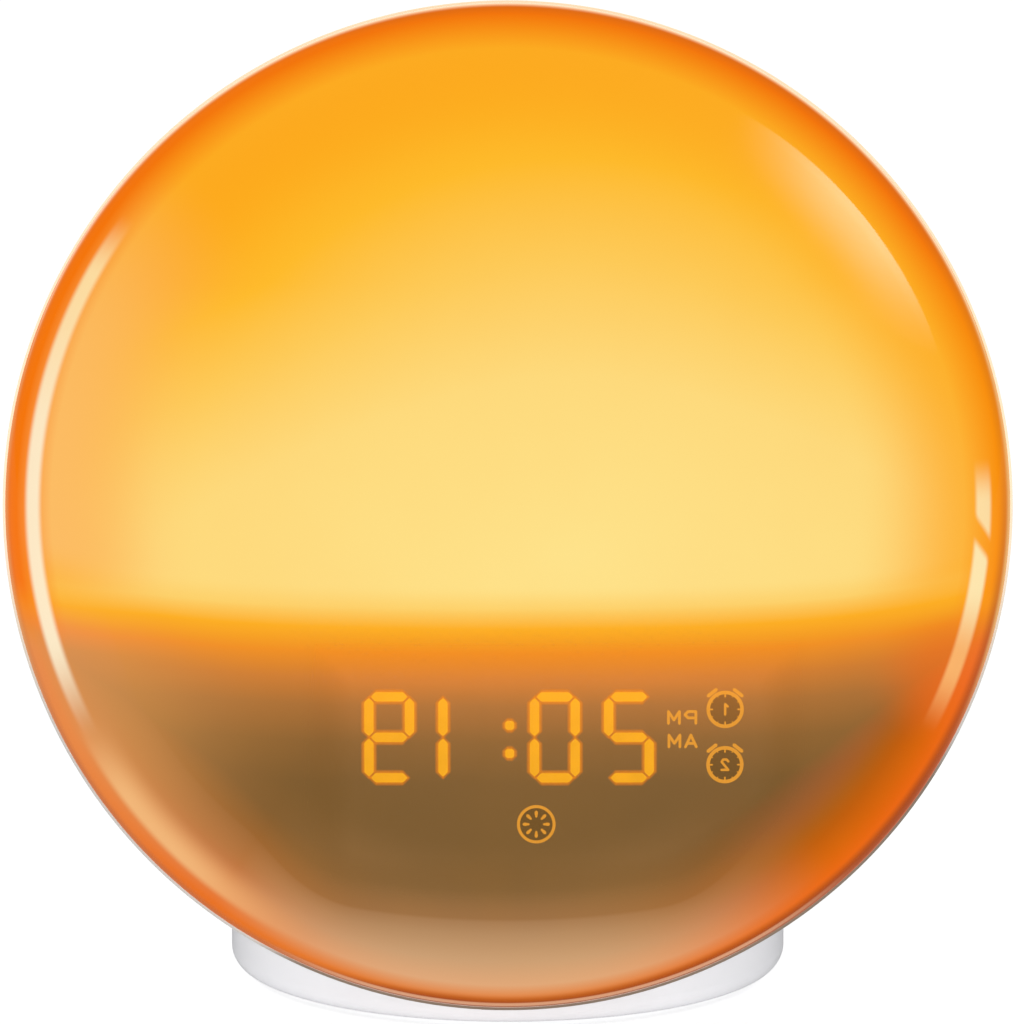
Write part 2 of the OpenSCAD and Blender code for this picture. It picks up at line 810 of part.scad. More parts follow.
module speaker_basket() {
    low = basket_near - neck_d;
    color(steel) at_speaker() {
        difference() {
            slab(basket_near, flange_far) {
                circle(r = speaker_r, $fn = 96);
                square([2 * ear_at + 6, 6], center = true);
            }
            peg(0, 0, basket_near - 1, flange_far + 1, speaker_r - 2);
            for (s = [-1, 1]) peg(s * ear_at, 0, basket_near - 1, flange_far + 1, 1.1);
        }
        turned() polygon([[coil_r + 1.4, low], [magnet_r, low], [speaker_r - 1, basket_near],
                          [speaker_r - 1, basket_near + 0.6], [speaker_r - 2, basket_near + 0.6],
                          [speaker_r - 2, basket_near], [magnet_r - 0.4, low + 1], [coil_r + 1.4, low + 1]]);
        box([-magnet_r - lug_l, low, -2], [0.2 - magnet_r, low + 0.8, 2]);
    }
}

// Ring magnet with its pole, round the gap of the voice coil
module speaker_magnet() {
    low = basket_near - neck_d;
    color("dimgray") at_speaker() turned() difference() {
        translate([0, magnet_near]) square([magnet_r, low - magnet_near]);
        translate([coil_r - 0.4, magnet_near + 1.2]) square([1.1, low - magnet_near]);
    }
}

module speaker_surround() {
    mid = (cone_r + 0.35 + speaker_r - 2.1) / 2;
    roll = (speaker_r - 2.1 - cone_r - 0.35) / 2;
    color("black") at_speaker() turned() intersection() {
        difference() {
            translate([mid, basket_near + 0.6]) circle(r = roll, $fn = 48);
            translate([mid, basket_near + 0.6]) circle(r = roll - 0.35, $fn = 48);
        }
        translate([0, basket_near + 0.6]) square([speaker_r, 3]);
    }
}

module speaker_gasket() {
    color("black") at_speaker() difference() {
        peg(0, 0, flange_far, back_in, speaker_r - 0.3);
        peg(0, 0, flange_far - 1, back_in + 1, speaker_r - 2.4);
    }
}

// Paper cone with its voice coil
module speaker_cone() {
    deep = basket_near - 7;
    color("darkslategray") at_speaker() turned() {
        polygon([[coil_r + 0.3, deep], [cone_r, basket_near + 0.4], [cone_r, basket_near + 1],
                 [cone_r - 0.4, basket_near + 1], [coil_r - 0.1, deep + 0.6], [coil_r - 0.1, deep]]);
        translate([coil_r - 0.1, magnet_near + 2.6]) square([0.4, deep + 0.2 - magnet_near - 2.6]);
    }
}

module speaker_dust_cap() {
    deep = basket_near - 7;
    dome = 9;
    rim = coil_r - 0.3;
    sink = sqrt(dome * dome - rim * rim);
    color("dimgray") at_speaker() turned() intersection() {
        difference() {
            translate([0, deep + 0.6 - sink]) circle(r = dome, $fn = 96);
            translate([0, deep + 0.6 - sink]) circle(r = dome - 0.4, $fn = 96);
        }
        translate([0, deep + 0.6]) square([rim, dome]);
    }
}

module speaker_leads() {
    start = [-plug_x, plug_top + lead_end, plug_z];
    finish = [1.5 - magnet_r - lug_l, basket_near - neck_d - lead_end, speaker_up];
    color("black") head() for (s = [-0.8, 0.8]) translate([0, 0, s])
        lead(bezier(start, start + [0, 12, 0], finish - [0, 12, 0], finish, 14), 0.55);
}

// ---------- back of the head ----------

cap_r = cap_d / 2;
cap_t = 1.6;
cap_neck_r = cap_r - 1.4;
cell_r = cell_d / 2;
lug_w = 4;
lug_t = 1;
lug_reach = 1.1;
lug_turn = 45;
contact_t = 0.4;
cap_foot = back_in - 4.2;                     // inner end of the cap
cell_far = cap_foot - 0.3;
cell_near = cell_far - cell_t;
holder_r = cap_neck_r + lug_reach + 2;
holder_floor = cell_near - contact_t - 1.2;

socket_w = 9.6;
socket_h = 3.9;
socket_clear = 2.05;                          // gap between the inlet and the battery holder
socket_z = -(cell_drop + holder_r + socket_clear + socket_h / 2);
socket_in = 7.5;
power_board_t = 1.2;
power_board_l = 16;
power_board_top = socket_z - socket_h / 2;

// Stadium power inlet with its tongue
module power_socket() {
    near = shell_depth - socket_in;
    color(steel) head() translate([0, 0, socket_z]) {
        difference() {
            slab(near, shell_depth) pill(socket_w, socket_h);
            slab(near + 1.5, shell_depth + 1) pill(socket_w - 0.8, socket_h - 0.8);
        }
        slab(near + 1, shell_depth - 0.7) square([6.6, 0.7], center = true);
    }
}

module power_board() {
    color(board_green) head() box([-10, back_in - power_board_l, power_board_top - power_board_t],
                                  [10, back_in - 0.3, power_board_top]);
}

// Leads from the power board and the coin cell to the main board
module power_leads() {
    from = [6, back_in - power_board_l - lead_end, power_board_top - power_board_t / 2];
    to = [plug_x, plug_top + lead_end, plug_z];
    cell_from = [-9, holder_floor - lead_end, -cell_drop];
    cell_to = [-plug_x, plug_top + lead_end, -cell_plug_drop];
    color("firebrick") head() for (s = [-0.8, 0.8]) {
        translate([s, 0, 0]) lead(bezier(from, from + [0, -14, 4], to + [0, 13, 0], to, 14), 0.55);
        translate([0, 0, s])
            lead(bezier(cell_from, cell_from - [0, 10, 0], cell_to + [0, 12, 0], cell_to, 12), 0.55);
    }
}

module at_cell() { head() translate([0, 0, -cell_drop]) children(); }

module battery_holder() {
    color("dimgray") at_cell() difference() {
        peg(0, 0, holder_floor, back_in, holder_r);
        peg(0, 0, cell_near - contact_t, back_in + 1, cell_r + fit);
        peg(0, 0, cell_far, back_in + 1, cap_neck_r + lug_reach + slip);
    }
}

module battery_contact() {
    color("goldenrod") at_cell() slab(cell_near - contact_t, cell_near) pill(cell_d - 6, 5);
}

module coin_cell() {
    color(steel) at_cell() {
        peg(0, 0, cell_near, cell_near + cell_t * 0.4, cell_r - 1.2);
        peg(0, 0, cell_near + cell_t * 0.4 - 0.01, cell_far, cell_r);
    }
}

// Quarter-turn cap with two lugs behind the shell's wall and a slot for a coin
module battery_cap() {
    color(white) at_cell() difference() {
        union() {
            peg(0, 0, shell_depth - cap_t, shell_depth, cap_r - slip);
            peg(0, 0, cap_foot, shell_depth - cap_t + 0.01, cap_neck_r);
            cap_lugs(back_in - fit - lug_t, back_in - fit, cap_neck_r + lug_reach, lug_w);
        }
        slab(shell_depth - 1, shell_depth + 1) pill(16, 2.2);
    }
}

module cap_lugs(near, far, reach, w) {
    intersection() {
        slab(near, far) square([2 * reach, w], center = true);
        peg(0, 0, near - 1, far + 1, reach);
    }
}

module rear_shell() {
    color(white) head() difference() {
        union() {
            difference() {
                turned() shell_profile(0, ring_back);
                turned() shell_profile(shell_wall, ring_back - 1);
            }
            at_case_screws() peg(0, 0, tower_near, back_in + 0.01, post_r + 0.5);
            at_speaker_ears() peg(0, 0, flange_far, back_in + 0.01, 2.4);
            for (s = [-1, 1]) box([s * 8 - 1, back_in - 12, power_board_top - power_board_t - 2.4],
                                  [s * 8 + 1, back_in + 0.01, power_board_top - power_board_t]);
            neck_bosses();
        }
        at_case_screws() {
            peg(0, 0, tower_near - 1, shell_depth + 1, 1.7);
            peg(0, 0, shell_depth - 3, shell_depth + 1, 3.3);
        }
        at_speaker_ears() peg(0, 0, flange_far - 1, back_in + 1.2, 1.05);
        grille_holes();
        slab(back_in - 1, shell_depth + 1) translate([0, socket_z]) pill(socket_w + 0.3, socket_h + 0.3);
        cap_seat();
        for (s = [-1, 1], i = [-1:1])
            side_bore(s, i, shell_in_r - 8, shell_r + 2) pill(key_l + 2 * slip, key_w + 2 * slip);
        top_bore(shell_in_r - 8, shell_r + 2) pill(snooze_l + 2 * slip, snooze_w + 2 * slip);
        upright() neck_bores();
    }
}

// Grille: rings of holes in front of the cone
module grille_holes() {
    rings = floor((cone_r - grille_hole_d) / grille_pitch);
    translate([0, 0, speaker_up]) {
        peg(0, 0, back_in - 1, shell_depth + 1, grille_hole_d / 2);
        for (ring = [1:rings], k = [0:6 * ring - 1]) rotate([0, 60 * k / ring, 0])
            peg(ring * grille_pitch, 0, back_in - 1, shell_depth + 1, grille_hole_d / 2);
    }
}

// Bore, counterbore and the two notches that let the lugs in
module cap_seat() {
    translate([0, 0, -cell_drop]) {
        peg(0, 0, back_in - 1, shell_depth + 1, cap_neck_r + slip);
        peg(0, 0, shell_depth - cap_t, shell_depth + 1, cap_r);
        rotate([0, lug_turn, 0])
            cap_lugs(back_in - 1, shell_depth - cap_t + 0.01, cap_neck_r + lug_reach + slip, lug_w + 0.6);
    }
}

module case_screws() {
    color(steel) head() at_case_screws() depth_screw(shell_depth - 1, -1, 2.9, 2, 1.4, 12);
}

// ---------- keys ----------

flange_over = 1.2;
flange_clear = 0.3;
flange_t_key = 1;
key_depth = chassis_far + snooze_w / 2 + flange_over + 0.5;
switch_t = 3.5;
plunger_r = 1.7;
plunger_out = 0.8;
plunger_in = 1.4;
key_board_t = 1.2;

// Radius of the shell's inside at a depth
function shell_in_at(depth) = depth <= back_mid ? shell_in_r :
    back_flat_r + sqrt(pow(back_corner_r - shell_wall, 2) - pow(depth - back_mid, 2));
// Inner face of a key's flange, clear of the curved wall at the flange's far corner
function flange_in(half, w) = sqrt(pow(shell_in_at(key_depth + w / 2 + flange_over), 2)
    - pow(half + flange_over, 2)) - flange_clear - flange_t_key;
side_flange = flange_in(key_pitch + key_l / 2, key_w);
top_flange = flange_in(snooze_l / 2, snooze_w);
side_board = side_flange - plunger_out - switch_t - key_board_t;
top_board = top_flange - plunger_out - switch_t - key_board_t;

// Extrudes a profile of (height, depth) sideways, between two distances from the middle
module side_bore(side, i, near, far) {
    translate([side > 0 ? near : -far, key_depth, i * key_pitch])
        rotate([0, 90, 0]) linear_extrude(far - near) children();
}

// Extrudes a profile of (width, depth) upwards, between two heights
module top_bore(near, far) {
    translate([0, key_depth, near]) linear_extrude(far - near) children();
}

module key_crown() {
    turned() shell_profile(-key_proud, ring_back - 2);
}

module side_key(side, i) {
    color("silver") head() intersection() {
        union() {
            side_bore(side, i, side_flange, shell_r + 3) pill(key_l, key_w);
            side_bore(side, i, side_flange, side_flange + flange_t_key)
                pill(key_l + 2 * flange_over, key_w + 2 * flange_over);
        }
        key_crown();
    }
}

module side_plunger(side, i) {
    near = side_flange - plunger_out - plunger_in;
    color("dimgray") head() side_bore(side, i, near, side_flange) circle(r = plunger_r, $fn = 32);
}

module left_key_1() { side_key(-1, 1); }
module left_key_2() { side_key(-1, 0); }
module left_key_3() { side_key(-1, -1); }
module right_key_1() { side_key(1, 1); }
module right_key_2() { side_key(1, 0); }
module right_key_3() { side_key(1, -1); }
module left_plunger_1() { side_plunger(-1, 1); }
module left_plunger_2() { side_plunger(-1, 0); }
module left_plunger_3() { side_plunger(-1, -1); }
module right_plunger_1() { side_plunger(1, 1); }
module right_plunger_2() { side_plunger(1, 0); }
module right_plunger_3() { side_plunger(1, -1); }

module snooze_key() {
    color("silver") head() intersection() {
        union() {
            top_bore(top_flange, shell_r + 3) pill(snooze_l, snooze_w);
            top_bore(top_flange, top_flange + flange_t_key)
                pill(snooze_l + 2 * flange_over, snooze_w + 2 * flange_over);
        }
        key_crown();
    }
}

snooze_switch_x = snooze_l / 2 - 8;

module snooze_plungers() {
    near = top_flange - plunger_out - plunger_in;
    color("dimgray") head() for (s = [-1, 1])
        translate([s * snooze_switch_x, 0, 0]) top_bore(near, top_flange) circle(r = plunger_r, $fn = 32);
}

side_board_l = 2 * key_pitch + key_l + 2;
top_board_l = snooze_l + 4;
key_board_far = max(key_depth + 5, ribbon_far + 1);
rib_notch = ribbon_far - ribbon_t - 1 - chassis_far;

module key_boards() {
    color(board_green) head() {
        for (x = [side_board, -side_board - key_board_t]) translate([x, chassis_far, -side_board_l / 2])
            cube([key_board_t, key_board_far - chassis_far, side_board_l]);
        translate([-top_board_l / 2, chassis_far, top_board])
            cube([top_board_l, key_board_far - chassis_far, key_board_t]);
    }
}

// Ribs of the chassis behind the key boards, notched for their flat cables
module key_rib(s) {
    translate([s > 0 ? side_board - key_rib_t : -side_board, chassis_far - 0.01, 0]) difference() {
        translate([0, 0, -side_board_l / 2]) cube([key_rib_t, key_board_far - chassis_far, side_board_l]);
        translate([-1, rib_notch, key_ribbon_z - ribbon_w / 2 - 1])
            cube([key_rib_t + 2, key_board_far, ribbon_w + 2]);
    }
}

module snooze_rib() {
    translate([0, chassis_far - 0.01, top_board - key_rib_t]) difference() {
        translate([-top_board_l / 2, 0, 0]) cube([top_board_l, key_board_far - chassis_far, key_rib_t]);
        translate([-ribbon_w / 2 - 1, rib_notch, -1]) cube([ribbon_w + 2, key_board_far, key_rib_t + 2]);
    }
}

// Square switch body with a well for its plunger
module key_switches() {
    well = plunger_in + key_travel + 0.1;
    color("black") head() {
        for (s = [-1, 1], i = [-1:1]) difference() {
            side_bore(s, i, side_board + key_board_t, side_flange - plunger_out) square(6, center = true);
            side_bore(s, i, side_flange - plunger_out - well, side_flange)
                circle(r = plunger_r + 0.15, $fn = 32);
        }
        for (s = [-1, 1]) translate([s * snooze_switch_x, 0, 0]) difference() {
            top_bore(top_board + key_board_t, top_flange - plunger_out) square(6, center = true);
            top_bore(top_flange - plunger_out - well, top_flange) circle(r = plunger_r + 0.15, $fn = 32);
        }
    }
}

// ---------- foot ----------

neck_x = 22;
neck_y = head_y + 22;
neck_seat = plate_top + 2.6;
neck_boss_top = 26;
neck_screw_l = 16;
plate_r = foot_r - foot_edge - 0.6;
foot_post_at = foot_r - 12;
foot_post_angles = [0, 90, 180];

module at_neck(z) {
    for (s = [-1, 1]) translate([s * neck_x, neck_y, z]) children();
}

module neck_bosses() {
    intersection() {
        upright() at_neck(0) cylinder(h = neck_boss_top, r = 3.8, $fn = peg_fn);
        turned() shell_profile(shell_wall / 2, ring_back);
    }
}

module neck_bores() {
    at_neck(0) cylinder(h = neck_boss_top - 2, r = pilot_r, $fn = peg_fn);
}

module at_foot() { translate([0, foot_y, 0]) children(); }

module foot() {
    color(white) difference() {
        union() {
            difference() {
                at_foot() rotate_extrude($fn = round_fn) foot_profile(0);
                difference() {
                    at_foot() rotate_extrude($fn = round_fn) foot_profile(foot_wall);
                    head_envelope(cradle_gap + foot_wall);
                }
            }
            intersection() {
                at_foot() rotate_extrude($fn = round_fn) foot_profile(0.5);
                union() {
                    at_neck(neck_seat) cylinder(h = foot_h, r = 4.4, $fn = peg_fn);
                    at_foot() for (a = foot_post_angles) rotate(a) translate([foot_post_at, 0, plate_top])
                        cylinder(h = foot_h - plate_top, r = 3.6, $fn = peg_fn);
                }
            }
        }
        head_envelope(cradle_gap);
        at_foot() translate([0, 0, plate_top - 9]) cylinder(h = 9, r = plate_r + fit, $fn = round_fn);
        at_neck(neck_seat - 1) cylinder(h = foot_h + 6, r = 1.7, $fn = peg_fn);
        at_foot() for (a = foot_post_angles) rotate(a) translate([foot_post_at, 0, plate_top - 1])
            cylinder(h = 8, r = pilot_r, $fn = peg_fn);
    }
}

module foot_plate() {
    color(white) at_foot() difference() {
        translate([0, 0, rubber_h]) cylinder(h = plate_t, r = plate_r, $fn = round_fn);
        for (a = foot_post_angles) rotate(a) translate([foot_post_at, 0, 0]) {
            cylinder(h = plate_top + 1, r = 1.7, $fn = peg_fn);
            cylinder(h = rubber_h + 1.2, r = 3.2, $fn = peg_fn);
        }
    }
}

module foot_screws() {
    color(steel) at_foot() for (a = foot_post_angles) rotate(a) translate([foot_post_at, 0, rubber_h + 0.2])
        screw(2.8, 1, 1.4, 6);
}

// Screws that hold the head to the foot
module neck_screws() {
    color(steel) at_neck(neck_seat - 2) screw(2.9, 2, 1.4, neck_screw_l);
}

module rubber_feet() {
    color("dimgray") at_foot() for (a = [45:90:315]) rotate(a) translate([rubber_at, 0, 0])
        cylinder(h = rubber_h, d = rubber_d, $fn = peg_fn);
}

module ballast() {
    r = foot_post_at - 5;
    color("gray") at_foot() translate([0, 0, plate_top]) intersection() {
        cylinder(h = ballast_t, r = r, $fn = 96);
        translate([-r, 8, -1]) cube([2 * r, r, ballast_t + 2]);
    }
}

// ---------- the clock ----------

front_lens();
trim_ring();
rear_shell();
chassis();
light_tray();
diffuser_sheet();
lamp_board();
warm_leds();
colour_leds();
lamp_leads();
display_mask();
display_block();
segments_lit();
segments_dark();
legend_guides();
display_board();
display_leds();
ribbons();
main_board();
main_chips();
main_parts();
board_screws();
speaker_basket();
speaker_magnet();
speaker_surround();
speaker_gasket();
speaker_cone();
speaker_dust_cap();
speaker_leads();
power_socket();
power_board();
power_leads();
key_boards();
key_switches();
left_key_1();
left_key_2();
left_key_3();
right_key_1();
right_key_2();
right_key_3();
left_plunger_1();
left_plunger_2();
left_plunger_3();
right_plunger_1();
right_plunger_2();
right_plunger_3();
snooze_key();
snooze_plungers();
battery_holder();
battery_contact();
coin_cell();
battery_cap();
case_screws();
foot();
foot_plate();
foot_screws();
neck_screws();
rubber_feet();
ballast();
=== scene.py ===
"""Looks for a sunrise alarm clock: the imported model, dressed with finer meshes and finishes.

Everything is in metres, in the row frame: X to the right, Y to the back, Z up, on the table.
The head is drawn in its own frame, in millimetres: x right, d depth behind the rim plane and
h height above the middle of the face. HeadFrame turns that into the row frame.
"""
from __future__ import annotations

import logging
import math
from dataclasses import dataclass, field
from enum import Enum
from typing import Callable, Iterable, Sequence

import bmesh
import bpy
from mathutils import Matrix, Vector


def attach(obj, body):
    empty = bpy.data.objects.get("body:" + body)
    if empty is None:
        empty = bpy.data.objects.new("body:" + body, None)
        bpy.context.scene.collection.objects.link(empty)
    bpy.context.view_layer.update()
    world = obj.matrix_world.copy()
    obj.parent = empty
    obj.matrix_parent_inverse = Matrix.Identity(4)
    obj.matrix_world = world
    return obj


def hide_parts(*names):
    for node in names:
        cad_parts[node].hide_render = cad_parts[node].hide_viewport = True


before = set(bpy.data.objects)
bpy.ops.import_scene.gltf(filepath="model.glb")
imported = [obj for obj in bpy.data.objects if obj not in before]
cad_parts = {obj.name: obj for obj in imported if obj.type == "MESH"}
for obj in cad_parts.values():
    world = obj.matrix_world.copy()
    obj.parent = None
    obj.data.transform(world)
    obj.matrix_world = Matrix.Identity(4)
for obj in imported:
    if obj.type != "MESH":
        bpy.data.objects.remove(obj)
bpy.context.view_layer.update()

log = logging.getLogger("clock")
MM = 0.001
SCREEN_WHITE = 255
BLACK = (0.0, 0.0, 0.0)
FULL_TURN = 360
RIM_STEPS = 256      # edges round the lens and the ring
FILM_STEPS = 160     # edges round the film
RING_STEPS = 64      # edges round a sign's ring
DISC_STEPS = 48      # edges round a sign's disc
Colour = tuple[float, float, float]
Point = tuple[float, float, float]
Flat = tuple[float, float]
Node = bpy.types.Node
Socket = bpy.types.NodeSocket
Shape = bmesh.types.BMesh


def rgb(red: float, green: float, blue: float) -> Colour:
    """Turns a colour on the 0 to 255 scale of a screen into scene-linear values.

    Args:
        red: Red, from 0 to 255.
        green: Green, from 0 to 255.
        blue: Blue, from 0 to 255.

    Returns:
        The three linear values, from 0 to 1.
    """
    def linear(value: float) -> float:
        """Returns one channel, made linear."""
        v = value / SCREEN_WHITE
        return v / 12.92 if v <= 0.04045 else ((v + 0.055) / 1.055) ** 2.4

    return linear(red), linear(green), linear(blue)


def toned(colour: Colour, by: float, plus: float = 0.0) -> Colour:
    """Returns a colour with its values multiplied and raised, up to 1."""
    return tuple(min(1.0, value * by + plus) for value in colour)


def heading(angle: float) -> Vector:
    """Returns the flat direction at an angle in degrees, from x towards y."""
    return Vector((math.cos(math.radians(angle)), math.sin(math.radians(angle))))


@dataclass(frozen=True)
class HeadFrame:
    """The head's own frame, and where it stands in the clock.

    Attributes:
        middle_y: Y of the middle of the rim plane, in millimetres.
        middle_z: Z of the middle of the rim plane, in millimetres.
        tilt: Angle that the face leans back, in radians.
        face_r: Radius of the front lens, in millimetres.
    """

    middle_y: float = -32.997
    middle_z: float = 92.663
    tilt: float = math.radians(10)
    face_r: float = 88.0

    @property
    def middle(self) -> Vector:
        """The middle of the rim plane, in metres."""
        return Vector((0, self.middle_y, self.middle_z)) * MM

    @property
    def matrix(self) -> Matrix:
        """Turns millimetres in the head's frame into metres in the row frame."""
        return Matrix.Translation(self.middle) @ Matrix.Rotation(-self.tilt, 4, "X") @ Matrix.Scale(MM, 4)


HEAD = HeadFrame()


# ---------- nodes ----------

class Wiring:
    """Adds and joins the nodes of one node tree."""

    def __init__(self, tree: bpy.types.NodeTree) -> None:
        """Keeps the tree that the nodes go into."""
        self.tree = tree

    def node(self, kind: str, **settings: object) -> Node:
        """Adds a node.

        Args:
            kind: Blender's name of the node type, without its ShaderNode.
            **settings: Properties to set on it.

        Returns:
            The new node.
        """
        made = self.tree.nodes.new(kind if kind.startswith("NodeGroup") else f"ShaderNode{kind}")
        for name, value in settings.items():
            setattr(made, name, value)
        return made

    def feed(self, socket: Socket, value: object) -> None:
        """Links or sets an input.

        Args:
            socket: The input.
            value: The output to link it to, or the value to set it to.
        """
        if isinstance(value, Socket):
            self.tree.links.new(value, socket)
        elif isinstance(value, tuple) and len(value) == 3 and socket.type == "RGBA":
            socket.default_value = (*value, 1.0)
        else:
            socket.default_value = value

    def fill(self, node: Node, **values: object) -> Node:
        """Feeds a node's inputs by name.

        Args:
            node: The node.
            **values: Outputs or values, by the inputs' names with _ for a space.

        Returns:
            The same node.
        """
        for name, value in values.items():
            self.feed(node.inputs[name.replace("_", " ")], value)
        return node

    def maths(self, operation: str, *values: object) -> Socket:
        """Adds a Math node.

        Args:
            operation: The operation's name.
            *values: Numbers or outputs, in the node's order.

        Returns:
            Its output.
        """
        made = self.node("Math", operation=operation)
        for socket, value in zip(made.inputs, values):
            self.feed(socket, value)
        return made.outputs[0]

    def times(self, first: object, *others: object) -> object:
        """Multiplies values.

        Args:
            first: The first of them.
            *others: The rest, if any.

        Returns:
            Their product, or the first as it is where there is no other.
        """
        for other in others:
            first = self.maths("MULTIPLY", first, other)
        return first

    def minus(self, value: object, other: object) -> Socket:
        """Returns value less other."""
        return self.maths("SUBTRACT", value, other)

    def line(self, value: object, slope: object, start: object) -> Socket:
        """Returns value times slope, plus start."""
        return self.maths("MULTIPLY_ADD", value, slope, start)

    def length(self, x: object, z: object) -> Socket:
        """Measures from the head's axis.

        Args:
            x: How far right the place is.
            z: How far up it is.

        Returns:
            Its distance from the axis.
        """
        flat = self.fill(self.node("CombineXYZ"), X=x, Z=z)
        made = self.fill(self.node("VectorMath", operation="LENGTH"), Vector=flat.outputs[0])
        return made.outputs["Value"]

    def split(self, vector: Socket) -> Iterable[Socket]:
        """Returns the x, y and z of a vector."""
        return self.fill(self.node("SeparateXYZ"), Vector=vector).outputs

    def smooth(self, value: object, low: object, high: object, top: float = 1.0) -> Socket:
        """Rises smoothly.

        Args:
            value: What it follows.
            low: Value at which it leaves 0.
            high: Value at which it reaches its top.
            top: Its top.

        Returns:
            A mask from 0 to top.
        """
        made = self.node("MapRange", interpolation_type="SMOOTHSTEP")
        return self.fill(made, Value=value, From_Min=low, From_Max=high, To_Max=top).outputs[0]

    def fall(self, value: object, low: object, high: object, drop: float = 1.0) -> Socket:
        """Falls smoothly from 1 by drop as value goes from low to high."""
        return self.minus(1.0, self.smooth(value, low, high, drop))

    def band(self, value: object, rise: Flat, fall: Flat, top: float = 1.0) -> Socket:
        """Rises smoothly to top over one stretch of value, and falls to 0 over another."""
        return self.times(self.smooth(value, *rise, top), self.fall(value, *fall))

    def span(self, value: object, low: object, high: object, to_low: float, to_high: float) -> Socket:
        """Maps value straight from low..high to to_low..to_high, and keeps it in there."""
        return self.fill(self.node("MapRange"), Value=value, From_Min=low, From_Max=high,
                         To_Min=to_low, To_Max=to_high).outputs[0]

    def mix(self, share: object, under: object, over: object, blend: str = "MIX") -> Socket:
        """Mixes two colours.

        Args:
            share: How much of over shows, from 0 to 1.
            under: The colour below.
            over: The colour on top.
            blend: Blender's name of the way they mix.

        Returns:
            The mixed colour.
        """
        made = self.node("Mix", data_type="RGBA", blend_type=blend, clamp_factor=True)
        for number, value in ((0, share), (6, under), (7, over)):
            self.feed(made.inputs[number], value)
        return made.outputs[2]

    def ramp(self, value: object, stops: Sequence[tuple[float, float, float, float]]) -> Socket:
        """Looks a colour up along a short ramp.

        Args:
            value: Place along the ramp, from 0 to 1.
            stops: Places, each with its red, green and blue from 0 to 255, in order.

        Returns:
            The colour.
        """
        made = self.node("ValToRGB")
        elements = made.color_ramp.elements
        made.color_ramp.interpolation = "LINEAR"
        while len(elements) < len(stops):
            elements.new(0.5)
        for element, (place, *screen) in zip(elements, stops):
            element.position = place
            element.color = (*rgb(*screen), 1.0)
        return self.fill(made, Fac=value).outputs[0]

    def noise(self, place: object, size: float, detail: float = 2.0, roughness: float = 0.5) -> Socket:
        """Adds noise with features of about size metres, and returns its value."""
        return self.fill(self.node("TexNoise"), Vector=place, Scale=1.0 / size, Detail=detail,
                         Roughness=roughness).outputs[0]

    def bump(self, height: object, distance: float, **under: object) -> Socket:
        """Turns a height into a normal, with a relief of distance metres, over a Normal if that is given."""
        return self.fill(self.node("Bump"), Distance=distance, Strength=1.0, Height=height, **under).outputs[0]


class Group:
    """A shader node group that several finishes share, built once and then placed by name."""

    built: dict[str, bpy.types.NodeTree] = {}

    @classmethod
    def make(cls, name: str, inputs: dict[str, float | None], outputs: dict[str, str],
             wire: Callable[[Wiring, Iterable[Socket]], Iterable[Socket]]) -> bpy.types.NodeTree:
        """Builds the group the first time that it is asked for.

        Args:
            name: The group's name.
            inputs: Each input's number, or None for a vector.
            outputs: Each output's type: Float, Vector or Color.
            wire: Adds the inside, given the wiring and the inputs, and returns what goes out.

        Returns:
            The group's node tree.
        """
        if name not in cls.built:
            tree = bpy.data.node_groups.new(name, "ShaderNodeTree")
            for label, value in inputs.items():
                kind = "NodeSocketVector" if value is None else "NodeSocketFloat"
                socket = tree.interface.new_socket(label, in_out="INPUT", socket_type=kind)
                if value is not None:
                    socket.default_value = value
            for label, kind in outputs.items():
                tree.interface.new_socket(label, in_out="OUTPUT", socket_type=f"NodeSocket{kind}")
            w = Wiring(tree)
            given = w.node("NodeGroupInput").outputs[:len(inputs)]
            end = w.node("NodeGroupOutput")
            for socket, value in zip(end.inputs, wire(w, *given)):
                w.feed(socket, value)
            cls.built[name] = tree
        return cls.built[name]


def grain_group() -> bpy.types.NodeTree:
    """Fine moulding grain with slow changes of tone: gives a height and two masks."""
    def wire(w: Wiring, place: Socket, size: Socket, patch: Socket) -> Iterable[Socket]:
        """Adds the inside of the group."""
        fine, slow = (w.fill(w.node("TexNoise"), Vector=place, Scale=w.maths("DIVIDE", 1.0, wide),
                             Detail=detail).outputs[0] for wide, detail in ((size, 3), (patch, 4)))
        return fine, w.smooth(fine, 0.35, 0.65), w.smooth(slow, 0.3, 0.7)

    return Group.make("moulding_grain", {"Place": None, "Size": 0.0004, "Patch": 0.02},
                      {"Height": "Float", "Fine": "Float", "Slow": "Float"}, wire)


def edge_group() -> bpy.types.NodeTree:
    """Finds the edges of a piece: gives a normal that is rounded there, and a broken mask of wear."""
    def wire(w: Wiring, place: Socket, radius: Socket, amount: Socket) -> Iterable[Socket]:
        """Adds the inside of the group."""
        rounded = w.fill(w.node("Bevel", samples=6), Radius=radius).outputs[0]
        same = w.node("VectorMath", operation="DOT_PRODUCT")
        w.feed(same.inputs[0], rounded)
        w.feed(same.inputs[1], w.node("NewGeometry").outputs["Normal"])
        turned = w.smooth(w.minus(1.0, same.outputs["Value"]), 0.01, 0.12)
        broken = w.smooth(w.noise(place, 0.004, 4, 0.65), 0.35, 0.62)
        return rounded, w.times(turned, w.times(broken, amount))

    return Group.make("edge_wear", {"Place": None, "Radius": 0.0003, "Amount": 0.5},
                      {"Normal": "Vector", "Wear": "Float"}, wire)


